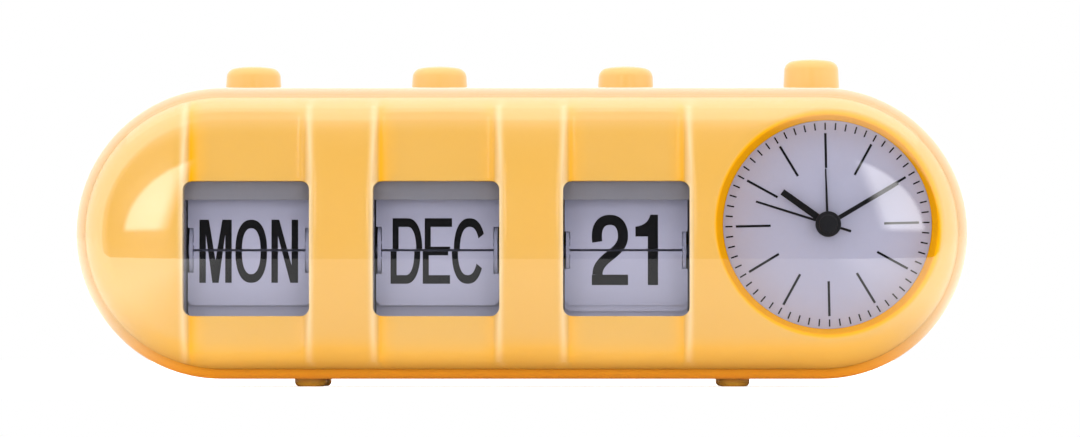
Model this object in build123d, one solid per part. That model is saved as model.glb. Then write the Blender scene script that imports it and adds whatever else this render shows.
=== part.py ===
from build123d import *
import os
from math import asin, cos, pi, radians, sin, sqrt

# Flip calendar and alarm clock, in millimetres.
# X runs to the viewer's right, Y runs to the back, Z runs up, and the feet stand on Z = 0.

# Body: a pill seen from the front, with a clear domed cover over a yellow fascia
BODY_WIDTH = 205.0
BODY_HEIGHT = 67.0
BODY_DEPTH = 60.0
FOOT_DROP = 1.8
CROWN_RADIUS = 110.0
FRONT_EDGE_RADIUS = 10.0
BACK_EDGE_RADIUS = 9.0
PARTING_FROM_FRONT = 15.0
COVER_WALL = 2.0
COVER_GAP = 0.3
FASCIA_WALL = 2.0
FASCIA_RIM_LENGTH = 7.0
CASE_WALL = 2.2

# Windows, their vertical channels and the flip modules behind them
MODULE_NAMES = ("day", "month", "date")
LEAF_COUNTS = (14, 12, 31)
ROW_PAST_END = 7.85
DIAL_TO_LEAF = 32.0
MODULE_GAP = 15.075
WINDOW_SIDE_GAP = 0.25
WINDOW_HEIGHT = 30.8
WINDOW_CORNER = 2.0
WINDOW_BELOW_MIDDLE = 3.7
CHANNEL_LIP = 0.5
CHANNEL_RUN = 1.6
CHANNEL_DEPTH = 4.5
CHANNEL_FLOOR_WALL = 1.8
CHANNEL_SIDE_WALL = 1.6
CHANNEL_FOOT_RADIUS = 1.0

# Leaves and their drum
LEAF_REACH = 12.7
LEAF_THICKNESS = 0.18
LEAF_CORNER = 1.0
LEAF_TAB = 0.5
LEAF_TO_WINDOW_FLOOR = 7.0
SPLIT_GAP = 0.52
SPLIT_BELOW_MIDDLE = 3.9
PIN_RADIUS = 7.0
DISC_RIM = 0.8
DISC_THICKNESS = 0.8
DISC_INSET = 0.35
DISC_CLEARANCE = 0.15
TAB_HOLE = 0.8
AXLE_RADIUS = 1.5
AXLE_CLEARANCE = 0.05
RATCHET_RADIUS = 6.5
RATCHET_TOOTH = 0.8
RATCHET_WIDTH = 1.6
RATCHET_GAP = 0.5

# Frame of a flip module
FRAME_GAP = 0.35
FRAME_WALL = 1.2
FRAME_ROOF_ABOVE_AXLE = 17.1
FRAME_FLOOR_BELOW_AXLE = 21.9
FRAME_BACK_BEHIND_AXLE = 16.5
ROOF_THICKNESS = 1.5
BROW_THICKNESS = 0.8
BROW_ABOVE_AXLE = 11.4
EAR_REACH = 4.2
EAR_HEIGHT = 7.0
EAR_BELOW_ROOF = 3.5
EAR_BELOW_AXLE = 9.0
EAR_THICKNESS = 1.5
EAR_SCREW_RADIUS = 1.0
EAR_SCREW_LENGTH = 4.2
EAR_SCREW_HEAD_RADIUS = 1.8
EAR_SCREW_HEAD_HEIGHT = 1.2
EAR_POST_RADIUS = 2.1

# Push buttons
BUTTON_BEHIND_RIM = 8.0
BUTTON_RADIUS = 6.7
BUTTON_DRAFT = 0.4
BUTTON_RISE = 5.7
BUTTON_STROKE = 3.0
BUTTON_EDGE_RADIUS = 2.2
BUTTON_CROWN_RADIUS = 24.0
BUTTON_CLEARANCE = 0.15
BUTTON_FLANGE = 0.9
BUTTON_FLANGE_HEIGHT = 1.3
BUTTON_FLANGE_GAP = 0.3
BUTTON_WALL = 1.4
BUTTON_BOSS_RADIUS = 3.3
STEM_RADIUS = 2.0
STEM_CLEARANCE = 0.1
ARM_ABOVE_ROOF = 4.0
ARM_THICKNESS = 2.0
ARM_WIDTH = 5.0
STEM_BELOW_ROOF = 0.2
PAWL_GAP = 0.4
PAWL_DEPTH = 1.8
PAWL_TIP_ABOVE_AXLE = 3.4
SPRING_STRIP = 0.3
SPRING_WIDTH = 4.0
SPRING_LENGTH = 11.0
SPRING_SEAT_GAP = 0.05
ALARM_FROM_DIAL = 2.9
ALARM_RISE = 7.3
ALARM_FLANGE_GAP = 1.0
ALARM_SPRING_HEIGHT = 3.3
ALARM_COLLAR = 1.2

# Dial, hands and quartz movement
DIAL_FROM_END = 1.2
DIAL_ABOVE_MIDDLE = 1.9
DIAL_OPENING_RADIUS = 23.9
FUNNEL_MOUTH_RADIUS = 25.7
FUNNEL_WALL = 1.6
DIAL_BEHIND_FRONT = 12.3
DIAL_THICKNESS = 0.8
DIAL_RADIUS = 25.2
BUSH_RADIUS = 2.5
BUSH_CLEARANCE = 0.1
BUSH_RISE = 0.7
HAND_THICKNESS = 0.3
HAND_GAP = 0.6
HAND_FIRST_GAP = 0.5
TUBE_RADII = (1.85, 1.40, 0.95, 0.50)
TUBE_CLEARANCE = 0.05
TUBE_DEPTH = 6.0
HUB_RADII = (2.3, 2.6, 2.6, 2.95)
HUB_CAP_HEIGHT = 0.8
ALARM_HAND = (12.8, 1.5, 0.65)
HOUR_HAND = (12.8, 3.4, 1.6)
MINUTE_HAND = (18.6, 3.4, 1.0)
SECOND_HAND = (17.3, 5.5, 0.6)
HAND_ANGLES = (92.0, 144.5, 30.7, 162.6)
MOVEMENT_WIDTH = 40.0
MOVEMENT_HEIGHT = 37.0
MOVEMENT_FRONT_DEPTH = 9.0
MOVEMENT_BACK_DEPTH = 7.0
MOVEMENT_CORNER = 6.0
MOVEMENT_STEP = 1.2
SWITCH_WIDTH = 10.0
SWITCH_BELOW_TOP = 6.9

# Setting knobs in a recess at the back
KNOB_RADIUS = 5.5
KNOB_HEIGHT = 2.8
KNOB_SPACING = 16.0
KNOB_FLUTES = 18
KNOB_FLUTE_RADIUS = 0.45
KNOB_SHAFT_RADIUS = 1.5
KNOB_SHAFT_CLEARANCE = 0.1
KNOB_SEAT_DEPTH = 3.0
RECESS_DEPTH = 3.6
RECESS_MARGIN = 3.0
RECESS_FLOOR = 2.0
KNOB_FLOOR_GAP = 0.3

# Battery bay, cell and door at the back
CELL_RADIUS = 7.15
CELL_LENGTH = 49.2
CELL_NUB_RADIUS = 2.6
CELL_NUB_LENGTH = 1.2
CELL_BELOW_MIDDLE = 10.3
BAY_WIDTH = 56.0
BAY_CLEARANCE = 0.6
BAY_WALL = 1.5
DOOR_THICKNESS = 1.8
DOOR_MARGIN = 2.2
DOOR_CLEARANCE = 0.2
DOOR_CORNER = 2.0
DOOR_GRIP_RADIUS = 5.0
DOOR_GRIP_DEPTH = 0.8
CONTACT_THICKNESS = 0.4
CONTACT_WIDTH = 10.0

# Screws that pull the fascia and the case together, and the feet
POST_FROM_DIAL = 24.0
POST_OFFSET = 24.6
POST_RADIUS = 3.1
POST_FROM_BACK = 16.0
SCREW_RADIUS = 1.4
SCREW_LENGTH = 12.0
SCREW_GRIP = 4.0
SCREW_HEAD_RADIUS = 2.3
SCREW_HEAD_HEIGHT = 1.8
SCREW_CLEARANCE = 0.1
FOOT_RADIUS = 3.7
FOOT_EDGE_RADIUS = 0.8
FOOT_FROM_END = 20.0
FOOT_BEHIND_RIM = 3.0
FOOT_FROM_BACK = 13.0
FOOT_STUB_RADIUS = 1.5
FOOT_STUB_LENGTH = 4.0
FOOT_STUB_CLEARANCE = 0.05

# Places worked out from the sizes above
END_RADIUS = BODY_HEIGHT / 2
STRAIGHT = BODY_WIDTH - BODY_HEIGHT
MIDDLE_Z = FOOT_DROP + END_RADIUS
TOP_Z = FOOT_DROP + BODY_HEIGHT
FRONT_Y = -BODY_DEPTH / 2
BACK_Y = BODY_DEPTH / 2
PARTING_Y = FRONT_Y + PARTING_FROM_FRONT
FASCIA_INSET = COVER_WALL + COVER_GAP
FASCIA_RIM_Y = PARTING_Y + FASCIA_RIM_LENGTH
FASCIA_FRONT_Y = FRONT_Y + FASCIA_INSET
BUTTON_Y = FASCIA_RIM_Y + BUTTON_BEHIND_RIM
DIAL_X = STRAIGHT / 2 + DIAL_FROM_END
ALARM_X = DIAL_X - ALARM_FROM_DIAL
ROW_LEFT = -STRAIGHT / 2 - ROW_PAST_END
ROW_RIGHT = DIAL_X - DIAL_TO_LEAF
MODULES = len(MODULE_NAMES)
LEAF_WIDTH = (ROW_RIGHT - ROW_LEFT - (MODULES - 1) * MODULE_GAP) / MODULES
MODULE_PITCH = LEAF_WIDTH + MODULE_GAP
MODULE_X = tuple(ROW_LEFT + LEAF_WIDTH / 2 + index * MODULE_PITCH for index in range(MODULES))
WINDOW_WIDTH = LEAF_WIDTH + 2 * WINDOW_SIDE_GAP
CHANNEL_TOP_WIDTH = WINDOW_WIDTH + 2 * CHANNEL_LIP
CHANNEL_FLOOR_WIDTH = CHANNEL_TOP_WIDTH - 2 * CHANNEL_RUN
CHANNEL_Y = FASCIA_FRONT_Y + CHANNEL_DEPTH
FLOOR_BACK_Y = CHANNEL_Y + CHANNEL_FLOOR_WALL
LEAF_Y = FLOOR_BACK_Y + LEAF_TO_WINDOW_FLOOR
AXLE_Y = LEAF_Y + PIN_RADIUS
AXLE_Z = MIDDLE_Z - SPLIT_BELOW_MIDDLE
WINDOW_Z = MIDDLE_Z - WINDOW_BELOW_MIDDLE
FRAME_INNER = LEAF_WIDTH / 2 + FRAME_GAP
FRAME_OUTER = FRAME_INNER + FRAME_WALL
DISC_OUTER = LEAF_WIDTH / 2 - DISC_INSET
DISC_INNER = DISC_OUTER - DISC_THICKNESS
NECK_HALF = DISC_INNER - DISC_CLEARANCE
RATCHET_X = FRAME_OUTER + RATCHET_GAP
ROOF_Z = AXLE_Z + FRAME_ROOF_ABOVE_AXLE
ROOF_TOP_Z = ROOF_Z + ROOF_THICKNESS
FRAME_BOTTOM_Z = AXLE_Z - FRAME_FLOOR_BELOW_AXLE
FRAME_BACK_Y = AXLE_Y + FRAME_BACK_BEHIND_AXLE
EAR_X = FRAME_OUTER + EAR_REACH / 2
EAR_Z = (ROOF_Z - EAR_BELOW_ROOF, AXLE_Z - EAR_BELOW_AXLE)
DIAL_Z = MIDDLE_Z + DIAL_ABOVE_MIDDLE
DIAL_Y = FRONT_Y + DIAL_BEHIND_FRONT
MOVEMENT_Y = DIAL_Y + DIAL_THICKNESS
MOVEMENT_SEAM_Y = MOVEMENT_Y + MOVEMENT_FRONT_DEPTH
MOVEMENT_BACK_Y = MOVEMENT_SEAM_Y + MOVEMENT_BACK_DEPTH
CASE_INNER_TOP_Z = TOP_Z - CASE_WALL
SWITCH_TOP_Z = CASE_INNER_TOP_Z - SWITCH_BELOW_TOP
SWITCH_HEIGHT = SWITCH_TOP_Z - DIAL_Z - MOVEMENT_HEIGHT / 2
CELL_Y = BACK_Y - DOOR_THICKNESS - BAY_CLEARANCE - CELL_RADIUS
CELL_Z = MIDDLE_Z - CELL_BELOW_MIDDLE
BAY_HALF_HEIGHT = CELL_RADIUS + BAY_CLEARANCE
BAY_FLOOR_Y = CELL_Y - CELL_RADIUS - BAY_CLEARANCE
DOOR_WIDTH = BAY_WIDTH + 2 * DOOR_MARGIN
DOOR_HEIGHT = 2 * BAY_HALF_HEIGHT + 2 * DOOR_MARGIN
KNOB_X = (DIAL_X - KNOB_SPACING / 2, DIAL_X + KNOB_SPACING / 2)
RECESS_FLOOR_Y = BACK_Y - RECESS_DEPTH
POST_X = ((MODULE_X[0] + MODULE_X[1]) / 2, DIAL_X - POST_FROM_DIAL)
POST_MEET_Y = BACK_Y - POST_FROM_BACK
FOOT_X = STRAIGHT / 2 - FOOT_FROM_END
FOOT_Y = (FASCIA_RIM_Y + FOOT_BEHIND_RIM, BACK_Y - FOOT_FROM_BACK)
POST_SPOTS = [(x, MIDDLE_Z + side * POST_OFFSET) for x in POST_X for side in (1, -1)]

os.makedirs("parts", exist_ok=True)


def save(name, *solids):
    """Write one node, as one solid or as a group of separate solids."""
    shape = solids[0] if len(solids) == 1 else Compound(children=list(solids))
    export_step(shape, f"parts/{name}.step")


def block(x0, x1, y0, y1, z0, z1):
    """A box between two corners."""
    return Pos((x0 + x1) / 2, (y0 + y1) / 2, (z0 + z1) / 2) * Box(x1 - x0, y1 - y0, z1 - z0)


def rod_x(radius, x0, x1, y, z):
    """A round bar along X."""
    return Pos((x0 + x1) / 2, y, z) * Rot(0, 90, 0) * Cylinder(radius, x1 - x0)


def rod_y(radius, y0, y1, x, z):
    """A round bar along Y."""
    return Pos(x, (y0 + y1) / 2, z) * Rot(90, 0, 0) * Cylinder(radius, y1 - y0)


def rod_z(radius, z0, z1, x, y):
    """A round bar along Z."""
    return Pos(x, y, (z0 + z1) / 2) * Cylinder(radius, z1 - z0)


def slab_y(sketch, y0, y1, x, z):
    """A flat sketch, drawn as seen from the front, given a thickness from y0 to y1."""
    front = Plane(origin=(x, y0, z), x_dir=(1, 0, 0), z_dir=(0, -1, 0))
    return extrude(front * sketch, -(y1 - y0))


def crowned_half(radius, top, bottom, crown_radius, edge_radius, inset=0.0, draft=0.0):
    """Half section with a crowned top: crown arc, tangent edge arc, straight side.

    All its faces lie inset inside the named outline, apart from the bottom, and the side leans out by draft.
    """
    crown_centre = top - crown_radius
    edge_x = radius - edge_radius
    reach = crown_radius - edge_radius
    edge_centre = crown_centre + sqrt(reach**2 - edge_x**2)
    lean = asin(edge_x / reach)
    crown = crown_radius - inset
    edge = edge_radius - inset
    meet = (crown * sin(lean), crown_centre + crown * cos(lean))
    half_lean = lean / 2
    crown_mid = (crown * sin(half_lean), crown_centre + crown * cos(half_lean))
    turn = (pi / 2 + lean) / 2
    edge_mid = (edge_x + edge * sin(turn), edge_centre + edge * cos(turn))
    side = radius - inset
    outline = [
        Line((0, bottom), (side + draft, bottom)),
        Line((side + draft, bottom), (side, edge_centre)),
        ThreePointArc((side, edge_centre), edge_mid, meet),
        ThreePointArc(meet, crown_mid, (0, top - inset)),
        Line((0, top - inset), (0, bottom)),
    ]
    return make_face(outline)


def tub_half(inset, bottom):
    """Half section of the case: flat back, rounded back edge, straight side, open at the front."""
    side = END_RADIUS - inset
    back = -BACK_Y + inset
    edge = BACK_EDGE_RADIUS - inset
    bend = (side - edge + edge * sin(pi / 4), back + edge - edge * cos(pi / 4))
    outline = [
        Line((0, bottom), (0, back)),
        Line((0, back), (side - edge, back)),
        ThreePointArc((side - edge, back), bend, (side, back + edge)),
        Line((side, back + edge), (side, bottom)),
        Line((side, bottom), (0, bottom)),
    ]
    return make_face(outline)


def pill(half):
    """Carry a half section along the straight middle and turn it round both ends."""
    right = Plane(origin=(STRAIGHT / 2, 0, MIDDLE_Z), x_dir=(0, 0, 1), z_dir=(1, 0, 0))
    left = Plane(origin=(-STRAIGHT / 2, 0, MIDDLE_Z), x_dir=(0, 0, 1), z_dir=(1, 0, 0))
    turn_axis = Axis((STRAIGHT / 2, 0, MIDDLE_Z), (0, 1, 0))
    end = revolve(right * half, turn_axis, 180)
    bar = extrude(left * half, STRAIGHT) + extrude(left * mirror(half, Plane.YZ), STRAIGHT)
    return bar + end + mirror(end, Plane.YZ)


def dome(inset, back_y):
    """Solid under the crowned front, inset from the outside of the clear cover."""
    return pill(crowned_half(END_RADIUS, -FRONT_Y, -back_y, CROWN_RADIUS, FRONT_EDGE_RADIUS, inset))


def make_clear_cover():
    """Clear domed cover that closes the whole front."""
    return dome(0.0, PARTING_Y) - dome(COVER_WALL, PARTING_Y)


def channel_cutter(x):
    """Prism of one vertical channel: sloped sides and a rounded floor."""
    floor_half = CHANNEL_FLOOR_WIDTH / 2
    top_half = CHANNEL_TOP_WIDTH / 2
    slope = (top_half - floor_half) / CHANNEL_DEPTH
    over = CHANNEL_DEPTH
    mouth_half = top_half + slope * over
    corners = [
        (x - floor_half, CHANNEL_Y),
        (x + floor_half, CHANNEL_Y),
        (x + mouth_half, CHANNEL_Y - CHANNEL_DEPTH - over),
        (x - mouth_half, CHANNEL_Y - CHANNEL_DEPTH - over),
    ]
    section = make_face(Polyline(*corners, close=True))
    foot = [v for v in section.vertices() if abs(v.Y - CHANNEL_Y) < 1e-6]
    section = fillet(foot, CHANNEL_FOOT_RADIUS)
    return extrude(section, TOP_Z)


def funnel_cone(margin, y0, y1):
    """Cone of the dial's funnel, margin wider, between two depths."""
    slope = (FUNNEL_MOUTH_RADIUS - DIAL_OPENING_RADIUS) / (DIAL_Y - FASCIA_FRONT_Y)
    front = DIAL_OPENING_RADIUS + margin + slope * (DIAL_Y - y0)
    back = DIAL_OPENING_RADIUS + margin + slope * (DIAL_Y - y1)
    cone = Rot(90, 0, 0) * Cone(back, front, y1 - y0)
    return Pos(DIAL_X, (y0 + y1) / 2, DIAL_Z) * cone


def ear_spots(x):
    """Places of the two screws that hold a module's frame."""
    return [(x - EAR_X, EAR_Z[0]), (x + EAR_X, EAR_Z[1])]


def make_front_fascia():
    """Yellow fascia: a domed shell with three channels, their windows and the dial's funnel."""
    outer = dome(FASCIA_INSET, FASCIA_RIM_Y)
    shell = outer - dome(FASCIA_INSET + FASCIA_WALL, FASCIA_RIM_Y)
    for x in MODULE_X:
        half = CHANNEL_TOP_WIDTH / 2 + CHANNEL_SIDE_WALL
        shell += outer & block(x - half, x + half, FRONT_Y, FLOOR_BACK_Y, 0, TOP_Z)
    shell += outer & funnel_cone(FUNNEL_WALL, FRONT_Y, DIAL_Y)
    shell -= funnel_cone(0.0, FRONT_Y, DIAL_Y + FUNNEL_WALL)
    for x in MODULE_X:
        shell -= channel_cutter(x)
    window = RectangleRounded(WINDOW_WIDTH, WINDOW_HEIGHT, WINDOW_CORNER)
    for x in MODULE_X:
        shell -= slab_y(window, FRONT_Y, FLOOR_BACK_Y + CHANNEL_FLOOR_WALL, x, WINDOW_Z)
    for x in MODULE_X:
        for ear_x, ear_z in ear_spots(x):
            shell += outer & rod_y(EAR_POST_RADIUS, FRONT_Y, FLOOR_BACK_Y, ear_x, ear_z)
            shell -= rod_y(EAR_SCREW_RADIUS, FLOOR_BACK_Y - EAR_SCREW_LENGTH, FLOOR_BACK_Y, ear_x, ear_z)
    for x, z in POST_SPOTS:
        shell += outer & rod_y(POST_RADIUS, FRONT_Y, FASCIA_RIM_Y, x, z)
        shell += rod_y(POST_RADIUS, FASCIA_RIM_Y, POST_MEET_Y, x, z)
        shell -= rod_y(SCREW_RADIUS, POST_MEET_Y - SCREW_LENGTH, POST_MEET_Y, x, z)
    return shell


def make_rear_case():
    """Yellow tub behind the cover: button holes, screw posts, battery bay and knob recess."""
    shell = pill(tub_half(0.0, -PARTING_Y)) - pill(tub_half(CASE_WALL, -PARTING_Y))
    bay_half = BAY_WIDTH / 2
    shell += block(
        -bay_half - BAY_WALL, bay_half + BAY_WALL,
        BAY_FLOOR_Y - BAY_WALL, BACK_Y - CASE_WALL / 2,
        CELL_Z - BAY_HALF_HEIGHT - BAY_WALL, CELL_Z + BAY_HALF_HEIGHT + BAY_WALL,
    )
    shell -= block(
        -bay_half, bay_half,
        BAY_FLOOR_Y, BACK_Y,
        CELL_Z - BAY_HALF_HEIGHT, CELL_Z + BAY_HALF_HEIGHT,
    )
    rim_back = BACK_Y - DOOR_THICKNESS
    ledge = RectangleRounded(DOOR_WIDTH + 2 * BAY_WALL, DOOR_HEIGHT + 2 * BAY_WALL, DOOR_CORNER)
    ledge -= Rectangle(BAY_WIDTH, 2 * BAY_HALF_HEIGHT)
    shell += slab_y(ledge, rim_back - BAY_WALL, BACK_Y - CASE_WALL / 2, 0, CELL_Z)
    lid = RectangleRounded(DOOR_WIDTH + 2 * DOOR_CLEARANCE, DOOR_HEIGHT + 2 * DOOR_CLEARANCE, DOOR_CORNER)
    shell -= slab_y(lid, rim_back, BACK_Y, 0, CELL_Z)
    dish_length = KNOB_SPACING + 2 * KNOB_RADIUS + 2 * RECESS_MARGIN
    dish_height = 2 * KNOB_RADIUS + 2 * RECESS_MARGIN
    dish = SlotOverall(dish_length, dish_height)
    backing = SlotOverall(dish_length + 2 * CASE_WALL, dish_height + 2 * CASE_WALL)
    shell += slab_y(backing, RECESS_FLOOR_Y - RECESS_FLOOR, BACK_Y - CASE_WALL / 2, DIAL_X, DIAL_Z)
    shell -= slab_y(dish, RECESS_FLOOR_Y, BACK_Y, DIAL_X, DIAL_Z)
    for x in KNOB_X:
        shaft_hole = KNOB_SHAFT_RADIUS + KNOB_SHAFT_CLEARANCE
        shell -= rod_y(shaft_hole, RECESS_FLOOR_Y - RECESS_FLOOR, RECESS_FLOOR_Y, x, DIAL_Z)
    for x in (*MODULE_X, ALARM_X):
        shell -= rod_z(BUTTON_RADIUS + BUTTON_CLEARANCE, MIDDLE_Z, TOP_Z, x, BUTTON_Y)
    for x, z in POST_SPOTS:
        shell += rod_y(POST_RADIUS, POST_MEET_Y, BACK_Y - CASE_WALL / 2, x, z)
        shell -= rod_y(SCREW_RADIUS + SCREW_CLEARANCE, POST_MEET_Y, BACK_Y, x, z)
        shell -= rod_y(SCREW_HEAD_RADIUS + SCREW_CLEARANCE, POST_MEET_Y + SCREW_GRIP, BACK_Y, x, z)
    for x in (-FOOT_X, FOOT_X):
        for y in FOOT_Y:
            shell -= rod_z(FOOT_STUB_RADIUS + FOOT_STUB_CLEARANCE, 0, FOOT_DROP + FOOT_STUB_LENGTH, x, y)
    return shell


def make_foot(x, y):
    """Round foot with a stub that plugs into the case."""
    pad = rod_z(FOOT_RADIUS, 0, FOOT_DROP, x, y)
    pad = fillet(pad.edges().group_by(Axis.Z)[0], FOOT_EDGE_RADIUS)
    return pad + rod_z(FOOT_STUB_RADIUS, FOOT_DROP, FOOT_DROP + FOOT_STUB_LENGTH, x, y)


def make_screw_y(radius, length, head_radius, head_height, x, y, z):
    """Screw along Y with its head's seat at y and its tip towards the front."""
    shank = rod_y(radius, y - length, y, x, z)
    return shank + rod_y(head_radius, y, y + head_height, x, z)


def make_leaf(count):
    """One leaf standing up from its pin line at the origin, with two pivot tabs."""
    pin_rise = PIN_RADIUS * sin(pi / count)
    tip = LEAF_REACH - pin_rise
    heel = SPLIT_GAP / 2 - pin_rise
    notch = sqrt((PIN_RADIUS + DISC_RIM) ** 2 - PIN_RADIUS**2) + DISC_CLEARANCE
    tab_end = DISC_OUTER - DISC_CLEARANCE
    half = LEAF_WIDTH / 2
    side = [
        (NECK_HALF, heel),
        (NECK_HALF, -LEAF_TAB / 2),
        (tab_end, -LEAF_TAB / 2),
        (tab_end, LEAF_TAB / 2),
        (NECK_HALF, LEAF_TAB / 2),
        (NECK_HALF, notch),
        (half, notch),
        (half, tip - LEAF_CORNER),
        (half - LEAF_CORNER, tip),
    ]
    outline = side + [(-x, s) for x, s in reversed(side)]
    upright = Plane(origin=(0, -LEAF_THICKNESS / 2, 0), x_dir=(1, 0, 0), z_dir=(0, -1, 0))
    return extrude(upright * make_face(Polyline(*outline, close=True)), -LEAF_THICKNESS)


def place_leaf(leaf, x, count, index):
    """Hang a leaf on its pin: the upper ones lean back one step each, the lower ones hang down."""
    step = 360 / count
    around = step / 2 + index * step
    lean = min(around + 90 - step / 2, 270)
    y = AXLE_Y - PIN_RADIUS * cos(radians(around))
    z = AXLE_Z + PIN_RADIUS * sin(radians(around))
    return Pos(x, y, z) * Rot(90 - lean, 0, 0) * leaf


def make_drum(x, count):
    """Axle with two pierced discs that carry the leaves, and a ratchet wheel on its right end."""
    drum = rod_x(AXLE_RADIUS, x - FRAME_OUTER - RATCHET_GAP, x + RATCHET_X + RATCHET_WIDTH, AXLE_Y, AXLE_Z)
    rim = PIN_RADIUS + DISC_RIM
    disc = Circle(rim)
    for index in range(count):
        turn = 360 * (index + 0.5) / count
        disc -= Rot(0, 0, turn) * Pos(PIN_RADIUS, 0) * Circle(TAB_HOLE / 2)
    facing = Plane(origin=(0, AXLE_Y, AXLE_Z), x_dir=(0, -1, 0), z_dir=(-1, 0, 0))
    for inner in (x - DISC_OUTER, x + DISC_INNER):
        drum += Pos(inner + DISC_THICKNESS, 0, 0) * extrude(facing * disc, DISC_THICKNESS)
    teeth = []
    for index in range(count):
        start = 2 * pi * index / count
        end = 2 * pi * (index + 1) / count
        root = RATCHET_RADIUS - RATCHET_TOOTH
        teeth.append((RATCHET_RADIUS * cos(start), RATCHET_RADIUS * sin(start)))
        teeth.append((root * cos(end), root * sin(end)))
    wheel = make_face(Polyline(*teeth, close=True))
    drum += Pos(x + RATCHET_X + RATCHET_WIDTH, 0, 0) * extrude(facing * wheel, RATCHET_WIDTH)
    return drum


def make_frame(x):
    """Module frame: two cheeks that carry the axle, a roof that guides the plunger, a brow and a floor."""
    cheeks = [
        block(x + a, x + b, FLOOR_BACK_Y, FRAME_BACK_Y, FRAME_BOTTOM_Z, ROOF_TOP_Z)
        for a, b in ((-FRAME_OUTER, -FRAME_INNER), (FRAME_INNER, FRAME_OUTER))
    ]
    frame = cheeks[0] + cheeks[1]
    frame += block(x - FRAME_INNER, x + FRAME_INNER, FLOOR_BACK_Y, FRAME_BACK_Y, ROOF_Z, ROOF_TOP_Z)
    frame += block(
        x - FRAME_INNER, x + FRAME_INNER,
        FLOOR_BACK_Y, FRAME_BACK_Y,
        FRAME_BOTTOM_Z, FRAME_BOTTOM_Z + ROOF_THICKNESS,
    )
    frame += block(
        x - FRAME_INNER, x + FRAME_INNER,
        FLOOR_BACK_Y, FLOOR_BACK_Y + BROW_THICKNESS,
        AXLE_Z + BROW_ABOVE_AXLE, ROOF_Z,
    )
    for ear_x, ear_z in ear_spots(x):
        side = -1 if ear_x < x else 1
        near = x + side * FRAME_OUTER
        far = x + side * (FRAME_OUTER + EAR_REACH)
        frame += block(
            min(near, far), max(near, far),
            FLOOR_BACK_Y, FLOOR_BACK_Y + EAR_THICKNESS,
            ear_z - EAR_HEIGHT / 2, ear_z + EAR_HEIGHT / 2,
        )
        ear_hole = EAR_SCREW_RADIUS + SCREW_CLEARANCE
        frame -= rod_y(ear_hole, FLOOR_BACK_Y, FLOOR_BACK_Y + EAR_THICKNESS, ear_x, ear_z)
    frame -= rod_x(AXLE_RADIUS + AXLE_CLEARANCE, x - FRAME_OUTER, x + FRAME_OUTER, AXLE_Y, AXLE_Z)
    frame -= rod_z(STEM_RADIUS + STEM_CLEARANCE, ROOF_Z, ROOF_TOP_Z, x, BUTTON_Y)
    return frame


def make_button_cap(x, rise, flange_gap):
    """Crowned button cap with a retaining flange and a socket for the stem."""
    top = TOP_Z + rise
    flange_top = CASE_INNER_TOP_Z - flange_gap
    bottom = flange_top - BUTTON_FLANGE_HEIGHT
    upright = Plane(origin=(x, BUTTON_Y, 0), x_dir=(1, 0, 0), z_dir=(0, -1, 0))
    top_radius = BUTTON_RADIUS - BUTTON_DRAFT
    half = crowned_half(
        top_radius, top, bottom, BUTTON_CROWN_RADIUS, BUTTON_EDGE_RADIUS, draft=BUTTON_DRAFT,
    )
    cap = revolve(upright * half, Axis((x, BUTTON_Y, 0), (0, 0, 1)), 360)
    cap += rod_z(BUTTON_RADIUS + BUTTON_FLANGE, bottom, flange_top, x, BUTTON_Y)
    inside_top = top - BUTTON_EDGE_RADIUS - BUTTON_WALL
    hollow = rod_z(top_radius - BUTTON_WALL, bottom, inside_top, x, BUTTON_Y)
    cap -= hollow - rod_z(BUTTON_BOSS_RADIUS, bottom, inside_top, x, BUTTON_Y)
    return cap - rod_z(STEM_RADIUS, bottom, inside_top, x, BUTTON_Y)


def stem_top(rise):
    """Height of the stem's end in its cap's socket."""
    return TOP_Z + rise - BUTTON_EDGE_RADIUS - BUTTON_WALL


def make_plunger(x):
    """Stem under a cap, with an arm that carries the pawl down in front of the ratchet wheel."""
    arm_z = ROOF_TOP_Z + ARM_ABOVE_ROOF
    arm_front = BUTTON_Y - ARM_WIDTH / 2
    arm_back = BUTTON_Y + ARM_WIDTH / 2
    pawl_back = AXLE_Y - RATCHET_RADIUS - PAWL_GAP
    pawl_front = pawl_back - PAWL_DEPTH
    pawl_x = x + RATCHET_X
    arm_x = x - ARM_WIDTH / 2
    plunger = rod_z(STEM_RADIUS, ROOF_Z - STEM_BELOW_ROOF, stem_top(BUTTON_RISE), x, BUTTON_Y)
    plunger += block(arm_x, pawl_x + RATCHET_WIDTH, arm_front, arm_back, arm_z, arm_z + ARM_THICKNESS)
    plunger += block(pawl_x, pawl_x + RATCHET_WIDTH, pawl_front, arm_back, arm_z, arm_z + ARM_THICKNESS)
    tip = AXLE_Z + PAWL_TIP_ABOVE_AXLE
    plunger += block(pawl_x, pawl_x + RATCHET_WIDTH, pawl_front, pawl_back, tip, arm_z)
    return plunger


def make_return_spring(x, seat_z, top_z):
    """Bent steel strip behind the stem: a flat foot on its seat and a sprung leg under the arm."""
    y0 = BUTTON_Y + STEM_RADIUS + STEM_CLEARANCE + SPRING_STRIP
    strip = SPRING_STRIP
    outline = [
        (-SPRING_LENGTH / 2, seat_z),
        (SPRING_LENGTH / 2, seat_z),
        (SPRING_LENGTH / 2, seat_z + strip),
        (-SPRING_LENGTH / 2 + 2 * strip, seat_z + strip),
        (0, top_z - SPRING_SEAT_GAP),
        (-strip, top_z - SPRING_SEAT_GAP),
        (-SPRING_LENGTH / 2, seat_z + strip),
    ]
    upright = Plane(origin=(x, y0 + SPRING_WIDTH, 0), x_dir=(1, 0, 0), z_dir=(0, -1, 0))
    return extrude(upright * make_face(Polyline(*outline, close=True)), SPRING_WIDTH)


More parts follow.
